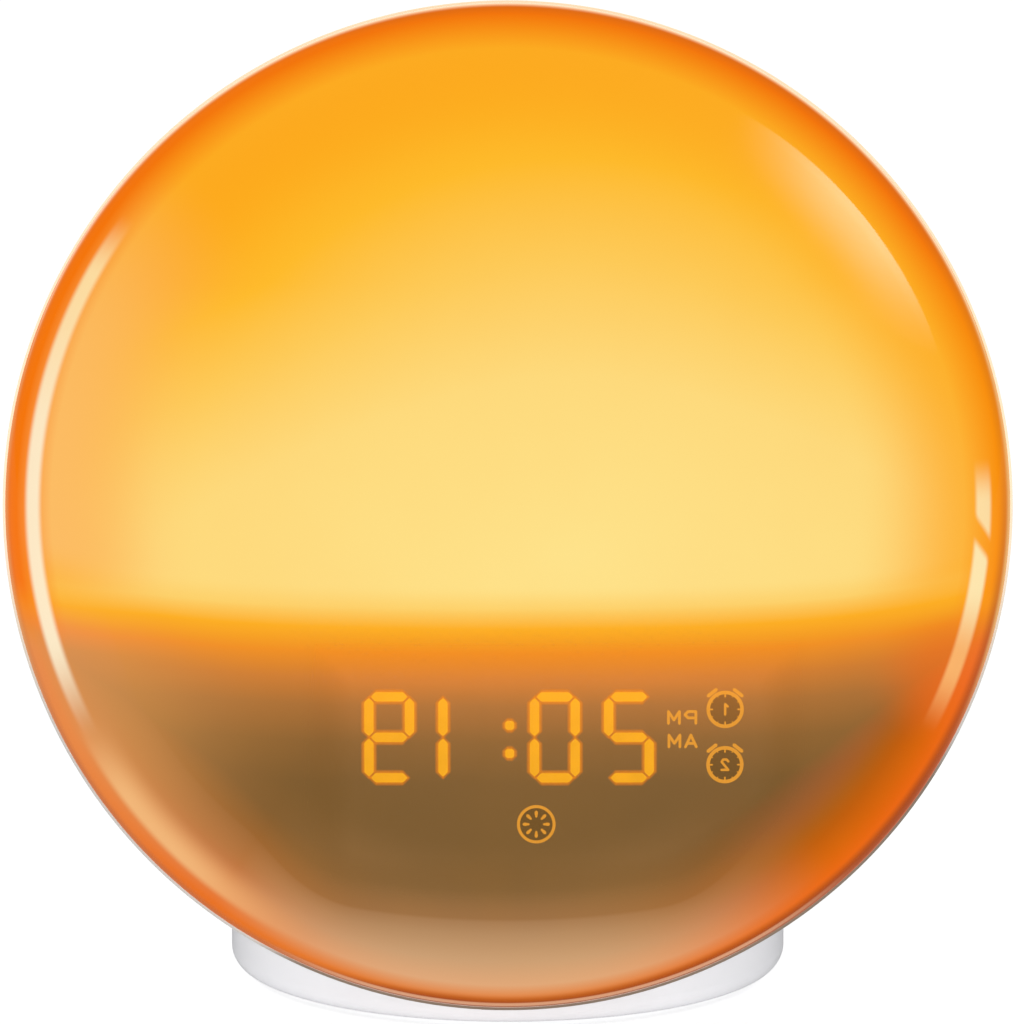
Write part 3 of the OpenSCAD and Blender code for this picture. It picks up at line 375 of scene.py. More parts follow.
def dust_group() -> bpy.types.NodeTree:
    """Dust that lies on faces that look up: gives a mask."""
    def wire(w: Wiring, place: Socket, amount: Socket) -> Iterable[Socket]:
        """Adds the inside of the group."""
        up = w.split(w.node("NewGeometry").outputs["Normal"])[2]
        spread = w.smooth(w.noise(place, 0.012, 5, 0.7), 0.38, 0.75)
        return [w.times(w.smooth(up, 0.35, 0.95), spread, amount)]

    return Group.make("settled_dust", {"Place": None, "Amount": 0.2}, {"Dust": "Float"}, wire)


def right_highlight_strips(w: Wiring, r: Socket, down: Socket) -> Socket:
    """Two painted highlight strips on the right of the rolled edge, with a slanting gap between them.

    Args:
        w: The group's wiring.
        r: Distance from the face's middle, as a share of its radius.
        down: How far round from the right towards the bottom, as a sine.

    Returns:
        A mask from 0 to 1.
    """
    middle, half, soft = 0.939, 0.0150, 0.012
    out = w.minus(r, middle)
    band = w.smooth(w.minus(half, w.maths("ABSOLUTE", out)), -0.005, 0.005)
    above = w.minus(down, w.line(out, 1.4, 0.046))
    upper = w.times(w.smooth(down, -0.10, 0.0, 0.85), w.fall(above, -soft, soft))
    beneath = w.minus(down, w.line(out, 1.16, 0.095))
    lower = w.times(w.smooth(beneath, -soft, soft), w.fall(down, 0.34, 0.48))
    return w.times(band, w.maths("MAXIMUM", upper, lower))


class Paint:
    """A colour that layers are laid over, one after the other."""

    def __init__(self, w: Wiring, colour: Socket) -> None:
        """Starts with a colour."""
        self.w = w
        self.colour = colour

    def lay(self, colour: object, *masks: object, blend: str = "MIX") -> None:
        """Lays a colour over what is there, where all the masks let it."""
        self.colour = self.w.mix(self.w.times(*masks), self.colour, colour, blend)


def glow_group() -> bpy.types.NodeTree:
    """The sunrise over the face: bright above the light shelf, brown below it, orange at the rim.

    Place is in the head's frame, as shares of the face's radius. Gives the colour of the light, with painted
    highlights, a painted reflection and painted shade laid into it, and a mask of the display's window.
    """
    def wire(w: Wiring, place: Socket) -> Iterable[Socket]:
        """Adds the inside of the group."""
        x, depth, h = w.split(place)
        r = w.length(x, h)

        # Above the shelf: paler near the light, and wider than high close to the shelf
        across = w.minus(x, 0.13)
        up = w.maths("ADD", h, 0.10)
        up2 = w.times(up, up)
        spread = w.maths("MINIMUM", 0.9, w.line(up2, 2.5, 0.19))
        away = w.maths("SQRT", w.maths("ADD", up2, w.times(spread, w.times(across, across))))
        paint = Paint(w, w.ramp(away, [(0.0, 254, 226, 138), (0.35, 254, 218, 124), (0.58, 254, 203, 88),
                                       (0.78, 255, 187, 42), (1.0, 254, 164, 6)]))

        # The horizon sags in the middle, and the light fades below it
        down = w.maths("DIVIDE", w.times(h, -1.0), r)
        right = w.maths("MAXIMUM", 0.0, w.maths("DIVIDE", x, r))
        left = w.maths("MAXIMUM", 0.0, w.maths("DIVIDE", w.times(x, -1.0), r))
        x2 = w.times(x, x)
        over = w.minus(h, w.line(x2, w.line(x2, 0.065, 0.028), -0.205))
        late = w.times(w.smooth(r, 0.70, 0.95, 0.016), w.fall(right, 0.3, 0.7))
        below = w.ramp(w.span(w.maths("ADD", over, late), -0.40, 0.0, 0.0, 1.0),
                       [(0.0, 117, 86, 45), (0.14, 119, 87, 46), (0.34, 137, 96, 49), (0.52, 169, 110, 53),
                        (0.65, 205, 123, 48), (0.78, 240, 143, 34), (0.90, 253, 175, 36), (1.0, 253, 208, 104)])
        paint.lay(below, w.fall(over, -0.012, 0.045))
        paint.lay(rgb(254, 173, 34), w.smooth(r, 0.68, 0.92, 0.85), w.smooth(over, -0.10, 0.03))

        # Round the lower edge: orange glow on the right, and a painted reflection, tan on the left and pale at the
        # bottom
        deep = w.fall(over, -0.16, -0.02)
        inner, outer = 0.76, 0.98
        orange = w.ramp(w.span(r, inner, outer, 0.0, 1.0),
                        [(0.0, 118, 83, 42), (0.18, 136, 87, 36), (0.5, 170, 91, 8), (0.64, 190, 91, 2),
                         (0.80, 214, 99, 0), (0.96, 237, 103, 0)])
        flatter = w.minus(w.line(x2, 0.265, w.times(h, -1.0)), r)
        central = w.times(w.fall(w.maths("ABSOLUTE", x), 0.30, 0.52), w.fall(r, 0.84, 0.96))
        arc = w.maths("ADD", r, w.times(flatter, central))
        pale = w.ramp(w.span(arc, inner, outer, 0.0, 1.0),
                      [(0.0, 136, 100, 57), (0.19, 152, 109, 65), (0.255, 156, 112, 68), (0.285, 167, 124, 82),
                       (0.40, 181, 139, 97), (0.64, 203, 159, 116), (0.86, 225, 169, 122), (1.0, 230, 124, 44)])
        turn = w.minus(w.line(right, -0.45, down), w.times(left, 0.3))
        share = w.maths("MAXIMUM", w.smooth(turn, 0.42, 0.95), w.smooth(left, 0.35, 0.65, 0.35))
        crescent_glow_and_reflection = w.mix(share, orange, pale)
        paint.lay(crescent_glow_and_reflection, w.smooth(r, 0.66, 0.80), deep, blend="LIGHTEN")
        paint.lay(crescent_glow_and_reflection, w.smooth(r, 0.80, 0.90), w.fall(over, -0.32, -0.12))
        paint.lay(rgb(246, 108, 8), w.smooth(right, 0.86, 0.93, 0.5), w.smooth(r, 0.76, 0.90),
                  w.fall(over, -0.14, -0.05))
        # Painted highlight: a faint haze of reflected light inside the rim on the left, below and above the horizon
        paint.lay(rgb(217, 152, 84), w.smooth(left, 0.60, 0.95), w.smooth(r, 0.52, 0.92, 0.62), deep, blend="LIGHTEN")
        paint.lay(rgb(252, 190, 106), w.smooth(left, 0.68, 1.0), w.smooth(r, 0.60, 0.92, 0.85),
                  w.smooth(over, -0.04, 0.07))

        # The rolled edge: orange glow, with a painted highlight strip and a second painted highlight along it on the
        # left, and two painted highlight strips on the right
        paint.lay(w.mix(w.smooth(right, 0.80, 1.0), rgb(250, 119, 1), rgb(254, 146, 4)),
                  w.span(r, 0.900, 0.972, 0.0, 1.0), w.minus(1.0, deep))
        paint.lay(w.mix(w.smooth(down, -0.5, -0.1), rgb(255, 226, 166), rgb(255, 240, 206)),
                  w.band(r, (0.917, 0.930), (0.945, 0.9575)), w.band(down, (-0.61, -0.48), (0.28, 0.50), 0.92),
                  w.smooth(left, 0.40, 0.75))
        paint.lay(rgb(246, 192, 130), w.band(r, (0.885, 0.948), (0.950, 0.966)), w.smooth(down, 0.44, 0.62, 0.8),
                  w.smooth(left, 0.40, 0.70))
        paint.lay(w.mix(w.smooth(down, 0.17, 0.32), rgb(255, 232, 176), rgb(250, 180, 108)),
                  right_highlight_strips(w, r, down), w.smooth(right, 0.5, 0.7))

        # Where it ends: a darker line of painted shade, strongest towards the bottom, a thin pale painted highlight
        # above, and a painted highlight line and a painted shadow line at the foot
        front = w.fall(depth, -0.040, 0.0)
        edge = w.minus(r, w.smooth(left, 0.1, 0.5, 0.012))
        paint.lay(w.mix(w.smooth(left, 0.2, 0.6), rgb(160, 64, 3), rgb(190, 96, 36)),
                  w.smooth(edge, 0.968, 0.988), w.span(down, -0.1, 0.6, 0.22, 0.9), front)
        paint.lay(rgb(252, 208, 130), w.smooth(r, 0.986, 0.998, 0.7), w.fall(down, 0.2, 0.5),
                  w.fall(left, 0.5, 0.95, 0.6), front)
        at_foot = w.smooth(w.line(left, -0.3, down), 0.70, 0.90, 0.64)
        paint.lay(rgb(242, 190, 152), w.band(r, (0.986, 0.9895), (0.9935, 0.9965)), at_foot)
        paint.lay(rgb(118, 76, 48), w.smooth(r, 0.9935, 0.998), at_foot)

        # Window over the display, with soft edges: its middle and half its size, across and up
        beyond = [w.minus(w.maths("ABSOLUTE", w.minus(spot, middle)), half)
                  for spot, middle, half in ((x, 0.095, 0.45), (h, -0.52, 0.225))]
        inside = w.fall(w.maths("MAXIMUM", *beyond), -0.06, 0.06)
        return paint.colour, w.times(inside, w.fall(r, 0.74, 0.84))

    return Group.make("sunrise_glow", {"Place": None}, {"Colour": "Color", "Window": "Float"}, wire)


class Finish:
    """A finish: a material that is made once, the first time that a piece needs it."""

    name: str

    def material(self) -> bpy.types.Material:
        """Returns the material, and makes it if this is its first use."""
        found = bpy.data.materials.get(self.name)
        if found is None:
            found = bpy.data.materials.new(self.name)
            found.use_nodes = True
            w = Wiring(found.node_tree)
            w.tree.nodes.clear()
            shader = w.node("BsdfPrincipled")
            w.fill(w.node("OutputMaterial"), Surface=shader.outputs[0])
            self.dress(w, shader, w.node("TexCoord").outputs["Object"])
        return found

    def dress(self, w: Wiring, shader: Node, place: Socket) -> None:
        """Adds the finish's own nodes and values.

        Args:
            w: The material's wiring.
            shader: Its Principled shader.
            place: Object coordinates, in metres.
        """
        raise NotImplementedError


def in_head(w: Wiring, place: Socket, scale: float = 1.0) -> Socket:
    """Turns object coordinates into the head's frame, in units of scale metres."""
    return w.fill(w.node("Mapping", vector_type="TEXTURE"), Vector=place, Location=HEAD.middle,
                  Rotation=(-HEAD.tilt, 0, 0), Scale=(scale,) * 3).outputs[0]


def placed(w: Wiring, tree: bpy.types.NodeTree, **values: object) -> Iterable[Socket]:
    """Places a group, feeds its inputs by name and returns what it puts out."""
    return w.fill(w.node("Group", node_tree=tree), **values).outputs


@dataclass(frozen=True)
class GlowingLens(Finish):
    """Opal plastic lit from behind, glossy in front, thinner over the display.

    Attributes:
        name: The material's name.
        share: Share of the colour that the plastic gives off, the rest is its own colour.
        clear: How much of the display's window lets light through.
    """

    name: str = "opal_lens"
    share: float = 0.76
    clear: float = 0.75

    def dress(self, w: Wiring, shader: Node, place: Socket) -> None:
        """Adds the glow with its painted highlights, reflection and shade, the window and the faint flow marks of the
        moulding.
        """
        colour, window = placed(w, glow_group(), Place=in_head(w, place, HEAD.face_r * MM))
        cloud = w.smooth(w.noise(place, 0.030, 3, 0.5), 0.3, 0.7)
        tint = w.mix(w.times(cloud, 0.04), colour, rgb(252, 166, 40))
        smear = w.smooth(w.noise(place, 0.018, 4, 0.6), 0.3, 0.75)
        w.fill(shader, Emission_Strength=self.share, Emission_Color=tint, Base_Color=w.mix(0.80, tint, BLACK),
               IOR=1.49, Specular_IOR_Level=0.3, Roughness=w.span(smear, 0.0, 1.0, 0.05, 0.09),
               Normal=w.bump(w.noise(place, 0.0009, 2), 0.0000012),
               Alpha=w.span(window, 0.0, 1.0, 1.0, 1.0 - self.clear))


@dataclass(frozen=True)
class SmokedFilm(Finish):
    """Tinted film behind the lower part of the lens, which takes on the colour of the light there.

    Attributes:
        name: The material's name.
        dim: How much darker it is than the film.
    """

    name: str = "smoked_film"
    dim: float = 0.0

    def dress(self, w: Wiring, shader: Node, place: Socket) -> None:
        """Adds the glow's colour with a fine printed grain."""
        glow = placed(w, glow_group(), Place=in_head(w, place, HEAD.face_r * MM))["Colour"]
        slow = placed(w, grain_group(), Place=place, Size=0.00025, Patch=0.02)["Slow"]
        colour = w.mix(w.line(slow, 0.03, self.dim), glow, rgb(84, 56, 6))
        w.fill(shader, Emission_Color=colour, Emission_Strength=1.09, Base_Color=w.mix(0.8, colour, BLACK),
               Roughness=w.span(slow, 0.0, 1.0, 0.45, 0.6))


@dataclass(frozen=True)
class LightBleed(Finish):
    """Light that creeps into the film round a guide, and fades over the piece's glow attribute."""

    name: str = "light_bleed"

    def dress(self, w: Wiring, shader: Node, place: Socket) -> None:
        """Fades an amber light outwards, a little unevenly."""
        near = w.node("Attribute", attribute_name="glow").outputs["Fac"]
        uneven = w.span(w.noise(place, 0.0006, 2), 0.3, 0.7, 0.8, 1.0)
        w.fill(shader, Alpha=w.times(w.maths("POWER", near, 0.55), uneven), Roughness=0.6, Emission_Strength=1.3,
               Emission_Color=w.mix(near, rgb(222, 116, 0), rgb(250, 146, 0)), Base_Color=(0.05, 0.02, 0.0))


@dataclass(frozen=True)
class Plastic(Finish):
    """Moulded plastic with a fine grain, rounded edges, light wear and a little dust.

    Attributes:
        name: The material's name.
        colour: Colour of the plastic, linear.
        roughness: Middle roughness.
        grain: Size of the grain, in metres.
        relief: Depth of the grain, in metres.
        edge: Radius that edges look rounded by, in metres.
        wear: How much edges are worn.
        dust: How much dust lies on it.
        lit: Share of its own colour that it gives off, for pieces that a lamp shines through.
    """

    name: str
    colour: Colour
    roughness: float = 0.38
    grain: float = 0.0005
    relief: float = 0.000012
    edge: float = 0.0003
    wear: float = 0.35
    dust: float = 0.10
    lit: float = 0.0

    def dress(self, w: Wiring, shader: Node, place: Socket) -> None:
        """Adds tone, grain, edges and dust."""
        height, fine, slow = placed(w, grain_group(), Place=place, Size=self.grain, Patch=0.035)
        rounded, wear = placed(w, edge_group(), Place=place, Radius=self.edge, Amount=self.wear)
        dust = placed(w, dust_group(), Place=place, Amount=self.dust)[0]
        colour = w.mix(w.times(slow, 0.6), self.colour, toned(self.colour, 0.93))
        colour = w.mix(wear, colour, toned(self.colour, 0.78, 0.22))
        colour = w.mix(dust, colour, rgb(178, 174, 166))
        rough = w.span(fine, 0.0, 1.0, self.roughness - 0.05, self.roughness + 0.06)
        w.fill(shader, Base_Color=colour, Roughness=w.maths("ADD", rough, w.times(dust, 0.4)),
               Normal=w.bump(height, self.relief, Normal=rounded))
        if self.lit:
            w.fill(shader, Emission_Color=colour, Emission_Strength=self.lit)


@dataclass(frozen=True)
class Metal(Finish):
    """Plated or turned metal: brushed in fine lines round the head's axis, or cast.

    Attributes:
        name: The material's name.
        colour: Colour of the metal, linear.
        roughness: Middle roughness.
        turned: Whether fine lines run round the head's axis.
        wear: How much edges are polished.
        metallic: Share that shines like bare metal, the rest is a silver lacquer.
        relief: Depth of the lines or grain, in metres.
        spill: Strength of the painted light from the lens in front of it, where it is turned.
    """

    name: str
    colour: Colour
    roughness: float = 0.28
    turned: bool = False
    wear: float = 0.5
    metallic: float = 1.0
    relief: float = 0.000004
    spill: float = 0.0

    def dress(self, w: Wiring, shader: Node, place: Socket) -> None:
        """Adds lines or a cast grain, polished edges and finger marks, and on turned metal painted shade and painted
        light.
        """
        rounded, wear = placed(w, edge_group(), Place=place, Radius=0.0002, Amount=self.wear)
        marks = w.smooth(w.noise(place, 0.008, 5, 0.65), 0.35, 0.7)
        colour = w.mix(w.times(marks, 0.15 if self.turned else 0.5), self.colour, toned(self.colour, 0.82))
        if self.turned:
            x, depth, h = w.split(in_head(w, place))
            r = w.length(x, h)
            height = w.noise(w.fill(w.node("CombineXYZ"), X=r, Y=depth).outputs[0], 0.00012, 2)
            # Painted shade darkens it under the foot of the lens, and painted light from the lens brightens its front
            up = w.maths("DIVIDE", h, r)
            front = w.fall(depth, 0.0040, 0.0046)
            under = w.minus(w.times(w.maths("DIVIDE", x, r), 0.3), up)
            colour = w.mix(w.times(w.smooth(under, 0.70, 0.80), front), colour, (0.33, 0.25, 0.185))
            w.fill(shader, Emission_Strength=self.spill,
                   Emission_Color=w.mix(w.times(w.smooth(up, -0.5, 0.1), front), BLACK, rgb(255, 205, 130)))
        else:
            height = w.noise(place, 0.0003, 3)
        w.fill(shader, Metallic=self.metallic, Base_Color=w.mix(wear, colour, (0.92, 0.92, 0.91)),
               Roughness=w.span(marks, 0.0, 1.0, self.roughness - 0.06, self.roughness + 0.08),
               Normal=w.bump(height, self.relief, Normal=rounded))


@dataclass(frozen=True)
class Lit(Finish):
    """A light guide or LED that gives off light, with small changes over its surface.

    Attributes:
        name: The material's name.
        colour: Colour of the light, linear.
        strength: Brightness, where 1 is a white that just reaches full.
        body: Colour of the plastic, linear.
    """

    name: str
    colour: Colour
    strength: float = 1.0
    body: Colour = (0.5, 0.35, 0.1)

    def dress(self, w: Wiring, shader: Node, place: Socket) -> None:
        """Adds light with small changes over the surface."""
        patch = w.span(w.noise(place, 0.0035, 3, 0.6), 0.3, 0.7, 0.90, 1.0)
        speck = w.noise(place, 0.0006, 2)
        w.fill(shader, Emission_Color=w.mix(patch, BLACK, self.colour), Emission_Strength=self.strength,
               Base_Color=w.mix(w.times(speck, 0.6), self.body, toned(self.body, 1.6)),
               Roughness=w.span(speck, 0.3, 0.7, 0.3, 0.45))


@dataclass(frozen=True)
class CircuitBoard(Finish):
    """Lacquered circuit board with copper tracks under the lacquer and tinned pads.

    Attributes:
        name: The material's name.
        lacquer: Colour of the lacquer, linear.
    """

    name: str
    lacquer: Colour = (0.012, 0.115, 0.045)

    def dress(self, w: Wiring, shader: Node, place: Socket) -> None:
        """Adds tracks, pads and the woven glass under them."""
        local = in_head(w, place)
        cells = w.fill(w.node("TexVoronoi", distance="MANHATTAN", feature="F2"), Vector=local, Scale=320)
        tracks = w.smooth(cells.outputs["Distance"], 0.62, 0.70)
        dots = w.fill(w.node("TexVoronoi"), Vector=local, Scale=260)
        pads = w.fall(dots.outputs["Distance"], 0.16, 0.22)
        weave = w.fill(w.node("TexBrick"), Vector=local, Scale=900).outputs["Fac"]
        colour = w.mix(w.times(tracks, 0.75), self.lacquer, toned(self.lacquer, 1.7, 0.01))
        colour = w.mix(w.times(weave, 0.10), colour, (0.2, 0.25, 0.12))
        w.fill(shader, Base_Color=w.mix(pads, colour, (0.62, 0.60, 0.55)), Metallic=w.times(pads, 0.9),
               Roughness=w.span(pads, 0.0, 1.0, 0.28, 0.36), Normal=w.bump(w.maths("ADD", tracks, pads), 0.00003))


@dataclass(frozen=True)
class Insulation(Finish):
    """Soft insulation of a lead or flat cable, with a slow change of tone and a dull sheen.

    Attributes:
        name: The material's name.
        colour: Colour of the insulation, linear.
        stripes: Distance between the wires of a flat cable, in metres, or 0 for a round lead.
    """

    name: str
    colour: Colour
    stripes: float = 0.0

    def dress(self, w: Wiring, shader: Node, place: Socket) -> None:
        """Adds tone, and lines where it is a flat cable."""
        tone = w.smooth(w.noise(place, 0.006, 4), 0.3, 0.7)
        colour = w.mix(tone, self.colour, toned(self.colour, 0.7))
        height = w.noise(place, 0.0005, 3)
        if self.stripes:
            wave = w.node("TexWave", bands_direction="X")
            height = w.fill(wave, Vector=place, Scale=0.314 / self.stripes).outputs["Fac"]
            colour = w.mix(w.times(height, 0.35), colour, (0.75, 0.74, 0.70))
        w.fill(shader, Base_Color=colour, Roughness=w.span(tone, 0.0, 1.0, 0.42, 0.55),
               Normal=w.bump(height, 0.00003))


@dataclass(frozen=True)
class PaperCone(Finish):
    """Pressed paper pulp of a loudspeaker cone, with loose fibres."""

    name: str = "cone_paper"

    def dress(self, w: Wiring, shader: Node, place: Socket) -> None:
        """Adds fibres and their shade."""
        stretched = w.fill(w.node("Mapping"), Vector=place, Scale=(1.0, 1.0, 4.0)).outputs[0]
        fibres = w.fill(w.node("TexNoise"), Vector=stretched, Scale=900, Detail=6).outputs[0]
        mask = w.smooth(fibres, 0.4, 0.65)
        w.fill(shader, Base_Color=w.mix(mask, (0.018, 0.017, 0.016), (0.055, 0.052, 0.048)),
               Roughness=w.span(mask, 0.0, 1.0, 0.75, 0.9), Normal=w.bump(fibres, 0.00006))


class Stuff(Enum):
    """The finishes of the clock, by what they are made of."""

    LENS = GlowingLens()
    FILM = SmokedFilm()
    SHELL = Plastic("shell_white", rgb(238, 238, 240), 0.40)
    FOOT = Plastic("foot_white", rgb(240, 240, 243), 0.34, relief=0.000008)
    CHASSIS = Plastic("chassis_grey", rgb(150, 151, 153), 0.5, 0.0008)
    # Painted light: the light tray and the diffuser sheet are tinted warm and glow, standing in for the lamp shining
    # on them
    TRAY = Plastic("tray_white", rgb(250, 214, 150), 0.45, lit=0.25)
    SHEET = Plastic("diffuser_milk", rgb(255, 214, 130), 0.5, lit=0.6)
    DARK = Plastic("display_dark", rgb(44, 33, 22), 0.55, dust=0.0, wear=0.1)
    HOLDER = Plastic("holder_black", rgb(32, 32, 34), 0.5)
    RUBBER = Plastic("foot_rubber", rgb(34, 34, 35), 0.8, 0.0003, 0.00003, wear=0.15)
    GASKET = Plastic("gasket_foam", rgb(24, 24, 25), 0.9, 0.0006, 0.00008, wear=0.0)
    CHIP = Plastic("chip_epoxy", rgb(28, 28, 30), 0.55, 0.0002, wear=0.3, edge=0.0001)
    PART = Plastic("part_sleeve", rgb(38, 46, 52), 0.4, wear=0.3, edge=0.00015)
    SWITCH = Plastic("switch_black", rgb(26, 26, 28), 0.45, edge=0.00015)
    KEY = Plastic("key_grey", rgb(196, 197, 200), 0.32, 0.0003, 0.000006)
    MARK = Plastic("mark_grey", rgb(92, 93, 98), 0.42, 0.0003, 0.000004, edge=0.00008, wear=0.15, dust=0.0)
    LABEL = Plastic("label_silver", rgb(206, 207, 209), 0.36, 0.0003, 0.000003, edge=0.00005, wear=0.1)
    TRIM = Metal("trim_satin", (0.80, 0.77, 0.72), 0.34, turned=True, wear=0.0, metallic=0.25, relief=0.0000005,
                 spill=0.60)
    SCREW = Metal("screw_zinc", (0.58, 0.58, 0.60), 0.34)
    STEEL = Metal("steel_plate", (0.56, 0.56, 0.57), 0.36)
    BALLAST = Metal("ballast_steel", (0.32, 0.31, 0.30), 0.5)
    MAGNET = Metal("magnet_ferrite", (0.10, 0.10, 0.105), 0.5)
    CONTACT = Metal("contact_nickel", (0.70, 0.66, 0.56), 0.3)
    BOARD = CircuitBoard("board_green")
    LAMP_BOARD = CircuitBoard("board_white", (0.62, 0.62, 0.60))
    CONE = PaperCone()
    BLACK_LEAD = Insulation("lead_black", (0.012, 0.012, 0.013))
    RED_LEAD = Insulation("lead_red", (0.40, 0.015, 0.012))
    RIBBON = Insulation("ribbon_grey", (0.42, 0.42, 0.44), 0.001)
    DIGIT = Lit("digit_amber", rgb(255, 176, 0), 1.40, (0.16, 0.07, 0.0))
    LEGEND = Lit("legend_amber", rgb(240, 158, 38), 1.25, (0.16, 0.08, 0.01))
    SIGN_SHADE = SmokedFilm("sign_shade", 0.62)
    BLEED = LightBleed()
    DIM = SmokedFilm("segment_smoke", 0.03)
    WARM_LED = Lit("led_warm", rgb(255, 214, 140), 1.4, (0.7, 0.6, 0.3))
    COLOUR_LED = Lit("led_orange", rgb(255, 130, 40), 1.2, (0.7, 0.5, 0.4))

    @property
    def material(self) -> bpy.types.Material:
        """The finish's material."""
        return self.value.material()


# ---------- shaping ----------

class Profile:
    """A line of vertices that grows from point to point and along arcs, ready to be turned.

    It lies in the plane of x, the radius, and y, the depth, in millimetres.
    """

    def __init__(self, bm: Shape, radius: float, depth: float) -> None:
        """Starts the line at a point."""
        self.bm = bm
        self.tip = bm.verts.new((radius, depth, 0))
        self.start = self.tip

    def line(self, radius: float, depth: float) -> "Profile":
        """Draws a straight stretch to a point."""
        self.tip = bmesh.ops.extrude_vert_indiv(self.bm, verts=[self.tip])["verts"][0]
        self.tip.co = (radius, depth, 0)
        return self

    def arc(self, radius: float, depth: float, angle: float, steps: int) -> "Profile":
        """Draws an arc round a centre.

        Args:
            radius: Radius at which the arc's centre lies.
            depth: Depth of the arc's centre.
            angle: Angle to turn by, in degrees, from the radius towards the depth.
            steps: Number of edges along it.

        Returns:
            The profile, so that calls can follow each other.
        """
        made = bmesh.ops.spin(self.bm, geom=[self.tip], cent=(radius, depth, 0), axis=(0, 0, 1),
                              dvec=(0, 0, 0), angle=math.radians(angle), steps=steps, use_merge=False)
        self.tip = next(g for g in made["geom_last"] if isinstance(g, bmesh.types.BMVert))
        return self

    def turn(self, steps: int) -> None:
        """Turns the line about the head's axis into a closed surface with its faces outwards."""
        geom = list(self.bm.verts) + list(self.bm.edges)
        bmesh.ops.spin(self.bm, geom=geom, cent=(0, 0, 0), axis=(0, 1, 0), dvec=(0, 0, 0),
                       angle=math.tau, steps=steps, use_merge=True)
        bmesh.ops.remove_doubles(self.bm, verts=self.bm.verts, dist=1e-4)
        bmesh.ops.recalc_face_normals(self.bm, faces=self.bm.faces)


@dataclass
class Piece:
    """One finished piece: its mesh goes into the row frame and rides on a body.

    Attributes:
        name: The piece's name.
        body: The CAD body that it rides on.
        stuff: Its finish.
        slot: The record's material slot that it belongs to; not used.
        replaces: The CAD nodes that it stands for.
        smooth_below: Edges with less than this angle are shaded smooth, in degrees.
    """

    name: str
    body: str
    stuff: Stuff
    slot: str
    replaces: Sequence[str] = ()
    smooth_below: float = 35.0

    def finish(self, bm: Shape, matrix: Matrix = Matrix.Identity(4)) -> bpy.types.Object:
        """Makes the object from a bmesh.

        Args:
            bm: The shape. It is freed.
            matrix: Turns the shape's own frame into the row frame.

        Returns:
            The object, at the origin, with its place in its mesh.
        """
        bmesh.ops.transform(bm, matrix=matrix, verts=bm.verts)
        mesh = bpy.data.meshes.new(self.name)
        bm.to_mesh(mesh)
        bm.free()
        mesh.shade_smooth()
        mesh.set_sharp_from_angle(angle=math.radians(self.smooth_below))
        made = bpy.data.objects.new(self.name, mesh)
        bpy.context.scene.collection.objects.link(made)
        mesh.materials.append(self.stuff.material)
        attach(made, self.body)
        if self.replaces:
            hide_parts(*self.replaces)
        log.info("piece %-22s %6d faces on %s", self.name, len(mesh.polygons), self.body)
        return made


# ---------- sub-assemblies ----------

@dataclass
class FrontLens:
    """The domed opal lens with its rolled edge and skirt.

    Attributes:
        edge_r: Radius of the rolled edge.
        edge_middle: Radius at which the middle of the rolled edge lies.
        slope: Slope of the dome where it meets the rolled edge, in degrees.
        wall: Wall of the lens.
        skirt: Straight skirt behind the rolled edge.
    """

    edge_r: float = 11.98
    edge_middle: float = 76.0
    slope: float = 15.5
    wall: float = 2.2
    skirt: float = 3.0

    @property
    def dome_r(self) -> float:
        """Radius of the dome, which meets the rolled edge without a break."""
        return self.edge_r + self.edge_middle / math.sin(math.radians(self.slope))

    @property
    def dome_middle(self) -> float:
        """Depth of the middle of the dome's sphere."""
        return (self.dome_r - self.edge_r) * math.cos(math.radians(self.slope))

    def inside(self, x: float, h: float, gap: float = 0.0) -> float:
        """Depth of the dome's inner face at a place, and gap behind it."""
        radius = self.dome_r - self.wall - gap
        return self.dome_middle - math.sqrt(radius * radius - x * x - h * h)

    def build(self) -> None:
        """Makes the lens."""
        outer = self.edge_middle + self.edge_r
        bm = bmesh.new()
        profile = Profile(bm, 0, self.dome_middle - self.dome_r)
        profile.arc(0, self.dome_middle, self.slope, 48)
        profile.arc(self.edge_middle, 0, 90 - self.slope, 28)
        profile.line(outer, self.skirt / 2).line(outer, self.skirt)
        profile.turn(RIM_STEPS)
        bmesh.ops.solidify(bm, geom=list(bm.faces), thickness=self.wall)
        Piece("lens", "clock", Stuff.LENS, "lens", ["front_lens"], 40).finish(bm, HEAD.matrix)


@dataclass
class TrimRing:
    """The satin ring between lens and shell: a flange with a bead outside and a spigot into each.

    Attributes:
        bead_r: Radius of the bead's round section.
        bead_middle: Radius at which the middle of the bead lies.
        inner: Radius of the bore.
        near: Depth of the flange's front.
        far: Depth of the flange's back.
        lip: Radii of the lip into the lens, from inside to outside.
        spigot: Outer radius of the spigot into the shell.
        ends: Depths of the lip's front and the spigot's back.
    """

    bead_r: float = 1.26
    bead_middle: float = 87.5
    inner: float = 79.4
    near: float = 3.04
    far: float = 5.56
    lip: Flat = (83.6, 85.6)
    spigot: float = 81.4
    ends: Flat = (1.0, 8.0)

    def build(self) -> None:
        """Makes the ring."""
        front, back = self.ends
        bm = bmesh.new()
        profile = Profile(bm, self.inner, back)
        profile.line(self.spigot, back).line(self.spigot, self.far).line(self.bead_middle, self.far)
        profile.arc(self.bead_middle, (self.near + self.far) / 2, -180, 20)
        profile.line(self.lip[1], self.near).line(self.lip[1], front).line(self.lip[0], front)
        profile.line(self.lip[0], self.near).line(self.inner, self.near).line(self.inner, back)
        profile.turn(RIM_STEPS)
        Piece("ring", "clock", Stuff.TRIM, "trim", ["trim_ring"], 40).finish(bm, HEAD.matrix)


class Bar(Enum):
    """The seven bars of a digit: share of the digit's half width and half height, and whether upright."""

    A = (0.0, 1.0, False)
    B = (1.0, 0.5, True)
    C = (1.0, -0.5, True)
    D = (0.0, -1.0, False)
    E = (-1.0, -0.5, True)
    F = (-1.0, 0.5, True)
    G = (0.0, 0.0, False)


